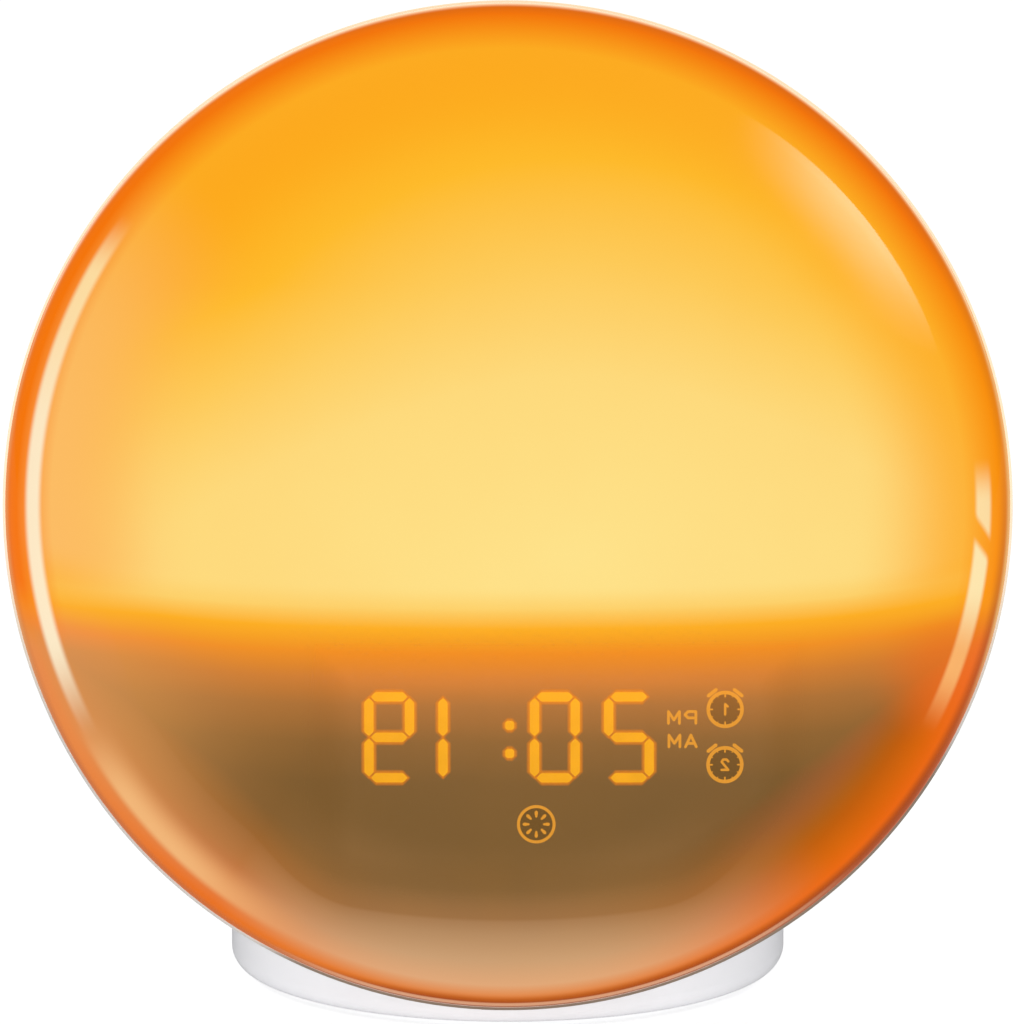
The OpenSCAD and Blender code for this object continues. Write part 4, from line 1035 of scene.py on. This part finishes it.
class Outline:
    """Flat shapes of a display, drawn in x and y before they become light guides."""

    def __init__(self) -> None:
        """Starts without a shape."""
        self.bm = bmesh.new()
        self.glow = self.bm.verts.layers.float.new("glow")

    def plate(self, centre: Flat, size: Flat, corner: float, turn: float = 0.0,
              steps: int = 2, bleed: float = 0.0) -> None:
        """Draws an oblong with its corners taken off.

        Args:
            centre: Its middle.
            size: Its length and width.
            corner: How far the corners are cut back along the sides.
            turn: Angle that it is turned by, in degrees.
            steps: Number of edges at a corner.
            bleed: Width of the fading border drawn round it, if any.
        """
        square = bmesh.ops.create_grid(self.bm, x_segments=1, y_segments=1, size=0.5)["verts"]
        length, width = size[0] + 2 * bleed, size[1] + 2 * bleed
        bmesh.ops.scale(self.bm, verts=square, vec=(length, width, 1))
        face = square[0].link_faces[0]
        for offset, segments in ((corner + bleed, 1), (min(corner * 0.45, width * 0.2), steps)):
            made = bmesh.ops.bevel(self.bm, geom=list(face.verts), offset=offset, segments=segments, profile=0.5,
                                   affect="VERTICES", material=-1, clamp_overlap=True)
            face = next(f for v in made["verts"] for f in v.link_faces)
        if bleed:
            bmesh.ops.inset_region(self.bm, faces=[face], thickness=bleed, use_boundary=True, use_even_offset=True)
            for vert in face.verts:
                vert[self.glow] = 1.0
        around = {v for corner in face.verts for e in corner.link_edges for v in e.verts}
        matrix = Matrix.Translation((*centre, 0)) @ Matrix.Rotation(math.radians(turn), 4, "Z")
        bmesh.ops.transform(self.bm, matrix=matrix, verts=list(around))

    def stroke(self, start: Flat, end: Flat, width: float) -> None:
        """Draws a line with round ends.

        Args:
            start: Where it starts.
            end: Where it ends.
            width: Its width.
        """
        run = Vector(end) - Vector(start)
        self.plate((Vector(start) + Vector(end)) / 2, (run.length + width, width), width * 0.4,
                   math.degrees(math.atan2(run.y, run.x)), 3)

    def strokes(self, place: Flat, points: Sequence[Flat], width: float) -> None:
        """Draws a line through points.

        Args:
            place: Where the points are measured from.
            points: The points, in order.
            width: The line's width.
        """
        at = [(place[0] + x, place[1] + y) for x, y in points]
        for start, end in zip(at, at[1:]):
            self.stroke(start, end, width)

    def ring(self, centre: Flat, radius: float, width: float) -> None:
        """Draws a ring.

        Args:
            centre: Its middle.
            radius: Its outer radius.
            width: Width of its line.
        """
        first = self.bm.verts.new((centre[0] + radius - width, centre[1], 0))
        edge = bmesh.ops.extrude_vert_indiv(self.bm, verts=[first])
        last = edge["verts"][0]
        last.co.x = centre[0] + radius
        bmesh.ops.spin(self.bm, geom=[first, last, *edge["edges"]], cent=(*centre, 0), axis=(0, 0, 1),
                       dvec=(0, 0, 0), angle=math.tau, steps=RING_STEPS, use_merge=True)

    def disc(self, centre: Flat, radius: float) -> None:
        """Draws a filled disc."""
        made = bmesh.ops.create_circle(self.bm, cap_ends=True, segments=DISC_STEPS, radius=radius)["verts"]
        bmesh.ops.translate(self.bm, verts=made, vec=(*centre, 0))

    def thicken(self) -> set[bmesh.types.BMVert]:
        """Gives the shapes a second side with walls round it, and returns that side's vertices."""
        grown = bmesh.ops.extrude_face_region(self.bm, geom=list(self.bm.faces), use_keep_orig=True)
        return {g for g in grown["geom"] if isinstance(g, bmesh.types.BMVert)}

    def stand(self, front: Callable[[float, float], float], back: float | None) -> Shape:
        """Stands the shapes up in the head's frame.

        Args:
            front: Gives the depth of the front at a place.
            back: Depth that the guides reach to, or None for shapes without thickness.

        Returns:
            The finished bmesh, in millimetres.
        """
        bmesh.ops.transform(self.bm, matrix=Matrix.Rotation(math.radians(90), 4, "X"), verts=self.bm.verts)
        rear = set() if back is None else self.thicken()
        for vert in self.bm.verts:
            vert.co.y = back if vert in rear else front(vert.co.x, vert.co.z)
        bmesh.ops.recalc_face_normals(self.bm, faces=self.bm.faces)
        return self.bm


@dataclass
class Display:
    """Digits and signs as light guides, the smoked film that they come through, and the light round them.

    Attributes:
        lens: The lens that it lies behind.
        middle: Middle of the digits, x and h.
        digit: Width and height of a digit.
        bar: Width of a bar.
        gap: Gaps between bars, across and up.
        centres: Middles of the digits, from the colon.
        shown: The lit bars of each digit, from left to right.
        bleed: Width of the light round a bar.
        colon: Width of the colon's dots, and how far right and up they are from the middle.
        film: Thickness of the film, its radius and the height that it reaches up to.
        gaps: Gaps from the lens to the guides, to what lies on the film, and to the film.
        sign_r: Radius of the round signs.
        places: Middles of the round signs, from the middle of the digits.
        line: Width of the signs' lines.
        rear: Depth that the guides reach to.
    """

    lens: FrontLens
    middle: Flat = (0.24, -40.27)
    digit: Flat = (8.60, 15.6)
    bar: float = 1.58
    gap: Flat = (0.92, 0.62)
    centres: tuple[float, ...] = (-20.7, -7.9, 7.9, 20.7)
    shown: tuple[str, ...] = ("ABDEFG", "EF", "ABCDEF", "ACDFG")
    bleed: float = 0.62
    colon: tuple[float, float, Flat] = (1.5, 0.1, (2.08, -2.78))
    film: Point = (0.45, 75.5, -20.6)
    gaps: Point = (0.2, 0.245, 0.27)
    sign_r: float = 3.24
    places: tuple[Flat, ...] = ((37.35, 4.80), (37.35, -4.80), (4.70, -15.08))
    line: float = 0.48
    rear: float = -7.0

    def bars(self, outline: Outline, bleed: float, lit: bool = True) -> None:
        """Draws the bars that are lit, and the colon, or the bars that stay dark.

        Args:
            outline: The shapes to draw into.
            bleed: Width of the fading border round each bar, if any.
            lit: Whether to draw the lit bars.
        """
        across = self.digit[0] - self.bar - self.gap[0]
        up = (self.digit[1] - self.bar) / 2 - self.gap[1]
        half = ((self.digit[0] - self.bar) / 2, (self.digit[1] - self.bar) / 2)
        for centre, shown in zip(self.centres, self.shown):
            for bar in Bar:
                if (bar.name in shown) != lit:
                    continue
                side, rise, upright = bar.value
                place = (self.middle[0] + centre + side * half[0], self.middle[1] + rise * half[1])
                outline.plate(place, (up if upright else across, self.bar), self.bar * 0.41,
                              90 if upright else 0, 2, bleed)
        dot, aside, rises = self.colon
        for rise in rises if lit else ():
            outline.plate((self.middle[0] + aside, self.middle[1] + rise), (dot, dot), 0.26, 0, 3, bleed)

    def letters(self, outline: Outline) -> None:
        """Draws PM and AM, laid out from right to left.

        Args:
            outline: The shapes to draw into.
        """
        width, height, step = 1.9, 2.05, 2.85
        shapes = {
            "M": [[(0, 0), (0, 1), (0.5, 0.3), (1, 1), (1, 0)]],
            "A": [[(0, 0), (0.5, 1), (1, 0)], [(0.22, 0.3), (0.78, 0.3)]],
            "P": [[(1, 0), (1, 1), (0.3, 1), (0, 0.73), (0.3, 0.46), (1, 0.46)]],
        }
        for word, x, h in (("MP", 29.9, 3.42), ("MA", 30.0, -0.66)):
            corner = (self.middle[0] + x - (step + width) / 2, self.middle[1] + h - height / 2)
            for number, letter in enumerate(word):
                for points in shapes[letter]:
                    outline.strokes((corner[0] + number * step, corner[1]),
                                    [(across * width, up * height) for across, up in points], self.line)

    def signs(self, outline: Outline) -> None:
        """Draws the two alarm clocks with their numbers, and the sun.

        Args:
            outline: The shapes to draw into.
        """
        numbers = ([(0.45, 0.5), (0.0, 0.9), (0.0, -0.9)],
                   [(0.6, 0.56), (0.28, 0.9), (-0.3, 0.9), (-0.58, 0.5), (0.58, -0.9), (-0.6, -0.9)])
        r = self.sign_r
        *alarms, sun = (Vector(self.middle) + Vector(place) for place in self.places)
        for points, centre in zip(numbers, alarms):
            outline.ring(centre, r, 0.62)
            outline.strokes(centre, points, 0.42)
            for angle in range(0, FULL_TURN, 30):
                inner, wide = (0.68, 0.28) if angle % 90 == 0 else (0.76, 0.16)
                outline.stroke(centre + heading(angle) * r * inner, centre + heading(angle) * r * 0.82, wide)
            for angle in (52, 128):
                outline.plate(centre + heading(angle) * (r + 0.42), (2.3, 0.62), 0.24, angle + 90, 3)
        outline.ring(sun, r + 0.10, 0.52)
        for angle in range(0, FULL_TURN, 45):
            for start, end, wide in ((1.35, 1.75, 0.42), (1.75, 2.1, 0.56)):
                outline.stroke(sun + heading(angle) * start, sun + heading(angle) * end, wide)

    def build_film(self) -> None:
        """Makes the film, which follows the inside of the dome."""
        thick, radius, top = self.film
        behind = self.lens.dome_r - self.lens.wall - self.gaps[2]
        bm = bmesh.new()
        profile = Profile(bm, 0, self.lens.dome_middle - behind)
        profile.arc(0, self.lens.dome_middle, math.degrees(math.asin(radius / behind)), 40)
        profile.turn(FILM_STEPS)
        bmesh.ops.bisect_plane(bm, geom=[*bm.verts, *bm.edges, *bm.faces], dist=1e-5, plane_co=(0, 0, top),
                               plane_no=(0, 0, 1), clear_outer=True)
        bmesh.ops.solidify(bm, geom=list(bm.faces), thickness=thick)
        Piece("display_film", "clock", Stuff.FILM, "mask", ["display_mask"]).finish(bm, HEAD.matrix)

    def add(self, name: str, stuff: Stuff, slot: str, outline: Outline, gap: float, back: float | None = None,
            replaces: Sequence[str] = ()) -> None:
        """Stands shapes up at a gap behind the lens, down to a depth if one is given, as a piece."""
        shape = outline.stand(lambda x, h: self.lens.inside(x, h, gap), back)
        Piece(name, "clock", stuff, slot, replaces).finish(shape, HEAD.matrix)

    def build(self) -> None:
        """Makes film, digits, signs, the light round the digits and the shade behind the signs."""
        self.build_film()
        at_lens, on_film, _ = self.gaps
        digits, dark, signs, bleed, shades = (Outline() for _ in range(5))
        self.bars(digits, 0.0)
        self.bars(dark, 0.0, lit=False)
        self.letters(signs)
        self.signs(signs)
        self.bars(bleed, self.bleed)
        for x, h in self.places:
            shades.disc((self.middle[0] + x, self.middle[1] + h), self.sign_r - 0.1)
        self.add("digit_guides", Stuff.DIGIT, "segment_lit", digits, at_lens, self.rear, ["segments_lit"])
        self.add("dark_guides", Stuff.DIM, "segment_dark", dark, on_film, self.rear, ["segments_dark"])
        self.add("sign_guides", Stuff.LEGEND, "segment_lit", signs, at_lens, self.rear, ["legend_guides"])
        self.add("digit_bleed", Stuff.BLEED, "mask", bleed, on_film)
        self.add("sign_shades", Stuff.SIGN_SHADE, "mask", shades, on_film)


@dataclass(frozen=True)
class MarkPlace:
    """Where flat shapes lie on the outside of a CAD node, and which way up.

    Attributes:
        node: The CAD node that they lie on.
        origin: A point outside the surface, in the head's frame.
        right: The way that x runs, in the head's frame.
        up: The way that y runs, in the head's frame.
        body: The body that they ride on.
    """

    node: str
    origin: Point
    right: Point
    up: Point
    body: str = "clock"

    def emboss(self, outline: Outline, lift: float, sink: float = 0.12) -> Shape:
        """Lays flat shapes onto the surface and makes them thick.

        Args:
            outline: The shapes, in millimetres.
            lift: How far they stand out, in millimetres.
            sink: How far they reach into the surface, in millimetres.

        Returns:
            The finished bmesh, in the row frame.
        """
        bm, rear = outline.bm, outline.thicken()
        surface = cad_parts[self.node]
        into = surface.matrix_world.inverted()
        right, up = Vector(self.right), Vector(self.up)
        out = HEAD.matrix.to_3x3() @ right.cross(up)
        out.normalize()
        for vert in bm.verts:
            start = HEAD.matrix @ (Vector(self.origin) + right * vert.co.x + up * vert.co.y)
            met, place, _, _ = surface.ray_cast(into @ start, into.to_3x3() @ -out)
            if not met:
                raise ValueError(f"a mark misses {self.node}")
            vert.co = surface.matrix_world @ place + out * MM * (-sink if vert in rear else lift)
        bmesh.ops.recalc_face_normals(bm, faces=bm.faces)
        return bm


@dataclass
class Markings:
    """Raised signs on the keys, dots on the snooze key, marks round the cap and a blank rating plate.

    Attributes:
        key_depth: Depth of the middle of the keys.
        key_pitch: Distance from key to key.
        lift: How far the signs stand out.
        line: Width of their lines.
        cap_h: Height of the middle of the battery cap.
        inlet_h: Height of the middle of the inlet.
        cap_marks_r: Radius, round the cap's middle, at which its marks lie.
        start: Distance from the head's middle at which a mark's way to a key begins.
        tongue: Depth of the middle of the inlet's tongue, and half its thickness.
        contact: Size of a contact strip.
        contact_pitch: Distance from strip to strip.
        plate_middle: Middle of the rating plate, as seen from behind.
        plate_size: Width and height of the rating plate.
    """

    key_depth: float = 15.2
    key_pitch: float = 14.0
    lift: float = 0.14
    line: float = 0.42
    cap_h: float = -20.0
    inlet_h: float = -38.5
    cap_marks_r: float = 14.6
    start: float = 95.0
    tongue: Flat = (49.0, 0.36)
    contact: Point = (0.42, 4.0, 0.05)
    contact_pitch: float = 0.75
    plate_middle: Flat = (28.5, -10.0)
    plate_size: Flat = (17.0, 9.0)

    def plus(self, outline: Outline) -> None:
        """Draws a plus."""
        outline.stroke((-1.4, 0), (1.4, 0), self.line)
        outline.stroke((0, -1.4), (0, 1.4), self.line)

    def minus(self, outline: Outline) -> None:
        """Draws a minus."""
        outline.stroke((-1.4, 0), (1.4, 0), self.line)

    def rays(self, outline: Outline) -> None:
        """Draws a sun."""
        outline.ring((0, 0), 0.85, 0.3)
        for angle in range(0, FULL_TURN, 45):
            outline.stroke(heading(angle) * 1.25, heading(angle) * 1.75, 0.3)

    def alarm(self, outline: Outline) -> None:
        """Draws an alarm clock."""
        outline.ring((0, -0.15), 1.6, 0.32)
        outline.strokes((0, -0.15), [(0, 0.9), (0, 0), (0.6, 0)], 0.3)
        for side in (-1, 1):
            outline.stroke((side * 0.95, 1.85), (side * 1.75, 1.15), 0.42)

    def wave(self, outline: Outline) -> None:
        """Draws a loudspeaker with its sound."""
        horn = [(0, -0.5), (0.6, -0.5), (1.4, -1.2), (1.4, 1.2), (0.6, 0.5), (0, 0.5), (0, -0.5)]
        outline.strokes((-1.5, 0), horn, 0.3)
        for radius in (0.9, 1.6):
            outline.strokes((0.25, 0), [heading(angle) * radius for angle in range(-40, 41, 20)], 0.28)

    def bars(self, outline: Outline) -> None:
        """Draws three bars."""
        for rise in (-0.95, 0, 0.95):
            outline.stroke((-1.4, rise), (1.4, rise), 0.34)

    def build_keys(self) -> None:
        """Makes the signs on the six side keys."""
        signs = {"left": (self.alarm, self.wave, self.bars), "right": (self.plus, self.rays, self.minus)}
        for side, sign in (("left", -1), ("right", 1)):
            for number, draw in enumerate(signs[side], 1):
                outline = Outline()
                draw(outline)
                node = f"{side}_key_{number}"
                middle = (sign * self.start, self.key_depth, (2 - number) * self.key_pitch)
                place = MarkPlace(node, middle, (0, sign, 0), (0, 0, 1), node)
                Piece(f"{node}_sign", node, Stuff.MARK, "key").finish(place.emboss(outline, self.lift))

    def build_snooze(self) -> None:
        """Makes the dots that the snooze key is found by."""
        outline = Outline()
        for x in (-3.0, 0.0, 3.0):
            outline.plate((x, 0), (1.3, 1.3), 0.4, 0, 4)
        place = MarkPlace("snooze_key", (0, self.key_depth, self.start), (1, 0, 0), (0, 1, 0), "snooze")
        Piece("snooze_dots", "snooze", Stuff.MARK, "key").finish(place.emboss(outline, 0.12))

    def build_back(self) -> None:
        """Makes the marks round the cap and the inlet, and the rating plate."""
        signs = Outline()
        # Where the cap is shut and where it comes free, and the polarity of the cell and the inlet
        for angle, length in ((90, 1.8), (45, 1.0)):
            way = heading(angle)
            middle = Vector((0, self.cap_h)) + way * self.cap_marks_r
            signs.stroke(middle - way * length / 2, middle + way * length / 2, 0.5)
        for x, upright in ((-9.6, True), (9.6, False)):
            signs.ring((x, self.inlet_h), 1.2, 0.26)
            signs.stroke((x - 0.6, self.inlet_h), (x + 0.6, self.inlet_h), 0.26)
            if upright:
                signs.stroke((x, self.inlet_h - 0.6), (x, self.inlet_h + 0.6), 0.26)
            signs.stroke((x * 0.86, self.inlet_h), (x * 0.66, self.inlet_h), 0.26)
        place = MarkPlace("rear_shell", (0, 80, 0), (-1, 0, 0), (0, 0, 1))
        Piece("back_signs", "clock", Stuff.MARK, "shell").finish(place.emboss(signs, 0.02))
        plate, lines = Outline(), Outline()
        x, h = self.plate_middle
        wide, high = self.plate_size
        plate.plate((x, h), (wide, high), 1.2, 0, 4)
        border = 1.2
        for rise in (border - high / 2, high / 2 - border):
            lines.strokes((x, h + rise), [(border - wide / 2, 0), (wide / 2 - border, 0)], 0.22)
        for half in (1.5, 0.95):
            square = [(-half, -half), (half, -half), (half, half), (-half, half), (-half, -half)]
            lines.strokes((x - wide / 4, h), square, 0.24)
        lines.strokes((x + wide / 4, h), [(-2.2, 0.6), (2.2, 0.6)], 0.26)
        for start in (-2.05, -0.55, 0.95):
            lines.strokes((x + wide / 4 + start, h - 0.4), [(0, 0), (1.1, 0)], 0.26)
        Piece("rating_plate", "clock", Stuff.LABEL, "shell").finish(place.emboss(plate, 0.05))
        Piece("rating_signs", "clock", Stuff.MARK, "shell").finish(place.emboss(lines, 0.07))

    def build_contacts(self) -> None:
        """Makes the contact strips on both faces of the inlet's tongue."""
        bm = bmesh.new()
        strips, (depth, half) = 8, self.tongue
        for side in (-1, 1):
            for number in range(strips):
                strip = bmesh.ops.create_cube(bm, size=1.0)["verts"]
                bmesh.ops.scale(bm, verts=strip, vec=self.contact)
                middle = ((number - (strips - 1) / 2) * self.contact_pitch, depth, self.inlet_h + side * half)
                bmesh.ops.translate(bm, verts=strip, vec=middle)
        Piece("inlet_contacts", "clock", Stuff.CONTACT, "contact").finish(bm, HEAD.matrix)

    def build(self) -> None:
        """Makes all marks."""
        self.build_contacts()
        self.build_keys()
        self.build_snooze()
        self.build_back()


class Dressed:
    """Pieces that keep their CAD shape and get a finish.

    Attributes:
        finishes: The nodes that get each finish.
    """

    finishes: dict[Stuff, Iterable[str]]

    def build(self) -> None:
        """Dresses the nodes, in each of their material slots."""
        for stuff, names in self.finishes.items():
            for name in names:
                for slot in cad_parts[name].material_slots:
                    slot.material = stuff.material
                log.info("node  %-22s %s", name, stuff.name.lower())


def both_sides(kind: str) -> list[str]:
    """Returns the names of the six side keys, or of their plungers."""
    return [f"{side}_{kind}_{number}" for side in ("left", "right") for number in (1, 2, 3)]


@dataclass
class Insides(Dressed):
    """Everything inside the head: lamp, display, boards, loudspeaker and leads."""

    finishes: dict[Stuff, Iterable[str]] = field(default_factory=lambda: {
        Stuff.CHASSIS: ["chassis"],
        Stuff.TRAY: ["light_tray"],
        Stuff.SHEET: ["diffuser_sheet"],
        Stuff.LAMP_BOARD: ["lamp_board"],
        Stuff.WARM_LED: ["warm_leds", "display_leds"],
        Stuff.COLOUR_LED: ["colour_leds"],
        Stuff.DARK: ["display_block"],
        Stuff.BOARD: ["display_board", "main_board", "key_boards", "power_board"],
        Stuff.RIBBON: ["ribbons"],
        Stuff.CHIP: ["main_chips"],
        Stuff.PART: ["main_parts"],
        Stuff.SCREW: ["board_screws", "neck_screws", "foot_screws"],
        Stuff.STEEL: ["speaker_basket", "coin_cell"],
        Stuff.MAGNET: ["speaker_magnet"],
        Stuff.GASKET: ["speaker_surround", "speaker_gasket"],
        Stuff.CONE: ["speaker_cone", "speaker_dust_cap"],
        Stuff.BLACK_LEAD: ["speaker_leads"],
        Stuff.RED_LEAD: ["lamp_leads", "power_leads"],
        Stuff.HOLDER: ["battery_holder"],
        Stuff.CONTACT: ["battery_contact"],
        Stuff.SWITCH: ["key_switches", *both_sides("plunger"), "snooze_plungers"],
        Stuff.BALLAST: ["ballast"],
    })


@dataclass
class Outside(Dressed):
    """Shell, cap, keys, inlet, screws, foot and rubber feet."""

    finishes: dict[Stuff, Iterable[str]] = field(default_factory=lambda: {
        Stuff.SHELL: ["rear_shell", "battery_cap"],
        Stuff.KEY: [*both_sides("key"), "snooze_key"],
        Stuff.STEEL: ["power_socket"],
        Stuff.SCREW: ["case_screws"],
        Stuff.FOOT: ["foot", "foot_plate"],
        Stuff.RUBBER: ["rubber_feet"],
    })


# ---------- studio ----------

@dataclass
class SoftBox:
    """A soft lamp that faces the middle of the clock's face.

    Attributes:
        name: The lamp's name.
        off_axis: Angle between the lamp and the way to the camera, in degrees.
        around: Angle round that way, in degrees, from the right through up.
        along: Size of the lamp along the rim, in metres.
        out: Size of the lamp away from the camera, in metres.
        glow: How bright it looks, where 1 is white.
        distance: Distance from the face, in metres.
        gloss: Whether it shows in a gloss.
        light: Whether it lights matt surfaces.
        fade: Share of its size, at the camera's side, over which it fades in. It then fades to its ends too.
        oval: Whether it is an ellipse.
    """

    name: str
    off_axis: float
    around: float
    along: float
    out: float
    glow: float
    distance: float = 1.0
    gloss: bool = True
    light: bool = True
    fade: float = 0.0
    oval: bool = False

    def build(self, forward: Vector) -> None:
        """Makes the lamp.

        Args:
            forward: The way from the face to the camera.
        """
        right = Vector((1, 0, 0))
        up = forward.cross(right) * -1
        up = up if up.z > 0 else -up
        off, around = math.radians(self.off_axis), math.radians(self.around)
        sideways = right * math.cos(around) + up * math.sin(around)
        way = forward * math.cos(off) + sideways * math.sin(off)
        outwards = sideways * math.cos(off) - forward * math.sin(off)
        data = bpy.data.lights.new(self.name, "AREA")
        data.shape = "ELLIPSE" if self.oval else "RECTANGLE"
        data.size, data.size_y = self.along, self.out
        data.energy = self.glow * math.pi * self.along * self.out
        if self.fade:
            data.use_nodes = True
            w = Wiring(data.node_tree)
            w.tree.nodes.clear()
            x, y, _ = w.split(w.node("NewGeometry").outputs["Parametric"])
            ends = w.times(w.maths("ABSOLUTE", w.minus(x, 0.5)), 2.0)
            light = w.fill(w.node("Emission"), Strength=w.times(w.smooth(y, 0.0, self.fade), w.fall(ends, 0.15, 1.10)))
            w.fill(w.node("OutputLight"), Surface=light.outputs[0])
        made = bpy.data.objects.new(self.name, data)
        made.location = HEAD.middle + way * self.distance
        made.rotation_mode = "QUATERNION"
        made.rotation_quaternion = Matrix((outwards.cross(way), outwards, way)).transposed().to_quaternion()
        made.visible_diffuse, made.visible_glossy, made.visible_camera = self.light, self.gloss, False
        bpy.context.scene.collection.objects.link(made)


@dataclass
class Studio:
    """White room, pale floor, soft lamps and the camera.

    Attributes:
        camera_distance: Distance from the camera to the middle of the rim, in metres.
        camera_up: Height of the camera over the horizon, in degrees.
        lens: Focal length, in millimetres.
        sensor: Width of the camera's sensor, in millimetres.
        middle_px: Pixel at which the middle of the rim shows.
        image_px: Width and height of the image.
        ambient: Brightness of the room for matt surfaces, where 1 is white.
        front_gloss: Brightness of the room in front of the clock, as a gloss shows it.
        floor_grey: Grey of the floor, and its grey as a gloss shows it.
        floor_lift: Light that keeps the floor pale: everywhere, in a gloss, and more for the camera.
    """

    camera_distance: float = 1.2
    camera_up: float = 9.6
    lens: float = 240.9
    sensor: float = 36.0
    middle_px: Flat = (507.7, 504.8)
    image_px: tuple[int, int] = (1013, 1024)
    ambient: float = 0.68
    front_gloss: float = 0.06
    floor_grey: Flat = (0.62, 0.16)
    floor_lift: Point = (0.46, 0.04, 0.16)

    @property
    def forward(self) -> Vector:
        """The way from the face to the camera."""
        up = math.radians(self.camera_up)
        return Vector((0, -math.cos(up), math.sin(up)))

    def build_camera(self) -> None:
        """Makes the camera, and shifts it by the few pixels that centre the view."""
        data = bpy.data.cameras.new("camera")
        data.lens, data.sensor_width = self.lens, self.sensor
        wide, high = self.image_px
        long_side = max(wide, high)
        data.shift_x = (wide / 2 - self.middle_px[0]) / long_side
        data.shift_y = (self.middle_px[1] - high / 2) / long_side
        data.clip_start, data.clip_end = 0.05, 20.0
        made = bpy.data.objects.new("camera", data)
        made.location = HEAD.middle + self.forward * self.camera_distance
        made.rotation_mode = "QUATERNION"
        made.rotation_quaternion = (-self.forward).to_track_quat("-Z", "Y")
        bpy.context.scene.collection.objects.link(made)
        bpy.context.scene.camera = made

    @staticmethod
    def seen(w: Wiring) -> Socket:
        """Returns 1 for rays that show the background: from the camera, a gloss or a glass."""
        path = w.node("LightPath")
        shown = w.maths("MAXIMUM", path.outputs["Is Camera Ray"], path.outputs["Is Glossy Ray"])
        return w.maths("MAXIMUM", shown, path.outputs["Is Transmission Ray"])

    def build_room(self) -> None:
        """Makes the white room round everything."""
        world = bpy.data.worlds.new("room")
        bpy.context.scene.world = world
        world.use_nodes = True
        w = Wiring(world.node_tree)
        w.tree.nodes.clear()
        behind = w.smooth(w.split(w.node("TexCoord").outputs["Generated"])[1], 0.80, 1.0)
        gloss = w.node("LightPath").outputs["Is Glossy Ray"]
        white = w.span(w.maths("MAXIMUM", behind, w.minus(1.0, gloss)), 0.0, 1.0, self.front_gloss, 1.0)
        seen = self.seen(w)
        strength = w.maths("ADD", w.times(w.minus(1.0, seen), self.ambient), w.times(seen, white))
        shader = w.fill(w.node("Background"), Color=(1.0, 1.0, 1.0), Strength=strength)
        w.fill(w.node("OutputWorld"), Surface=shader.outputs[0])

    def build_floor(self) -> None:
        """Makes the pale floor, which keeps the clock's shadow."""
        material = bpy.data.materials.new("floor_pale")
        material.use_nodes = True
        w = Wiring(material.node_tree)
        w.tree.nodes.clear()
        path = w.node("LightPath").outputs
        gloss = path["Is Glossy Ray"]
        plain, glossy, camera = self.floor_lift
        diffuse = w.fill(w.node("BsdfDiffuse"), Color=w.mix(gloss, *((grey,) * 3 for grey in self.floor_grey)))
        light = w.fill(w.node("Emission"), Strength=w.line(path["Is Camera Ray"], camera,
                                                           w.span(gloss, 0.0, 1.0, plain, glossy)))
        both = w.node("AddShader")
        for socket, part in zip(both.inputs, (diffuse, light)):
            w.feed(socket, part.outputs[0])
        w.fill(w.node("OutputMaterial"), Surface=both.outputs[0])
        bm = bmesh.new()
        bmesh.ops.create_grid(bm, x_segments=1, y_segments=1, size=12.0)
        mesh = bpy.data.meshes.new("floor")
        bm.to_mesh(mesh)
        bm.free()
        mesh.materials.append(material)
        made = bpy.data.objects.new("floor", mesh)
        bpy.context.scene.collection.objects.link(made)

    def build(self) -> None:
        """Makes camera, room, floor and lamps."""
        self.build_camera()
        self.build_room()
        self.build_floor()
        for lamp in (
            SoftBox("lamp_upper_right", 37.6, 40, 0.43, 0.14, 8.2, light=False, fade=0.75, oval=True),
            SoftBox("lamp_key", 42, 125, 1.0, 1.0, 0.32, 1.5, gloss=False),
            SoftBox("lamp_front", 8, -90, 0.9, 0.2, 17.0, 1.5, gloss=False),
            SoftBox("lamp_back", 128, 120, 1.0, 1.0, 0.16, 1.5, gloss=False),
        ):
            lamp.build(self.forward)
        bpy.context.scene.view_settings.view_transform = "Standard"


def main() -> None:
    """Builds the clock, sub-assembly by sub-assembly, and then the studio."""
    logging.basicConfig(level=logging.INFO, format="%(message)s")
    lens = FrontLens()
    for assembly in (lens, TrimRing(), Display(lens), Insides(), Outside(), Markings()):
        log.info("-- %s", type(assembly).__name__)
        assembly.build()
    Studio().build()
    bpy.context.view_layer.update()


if __name__ == "__main__":
    main()
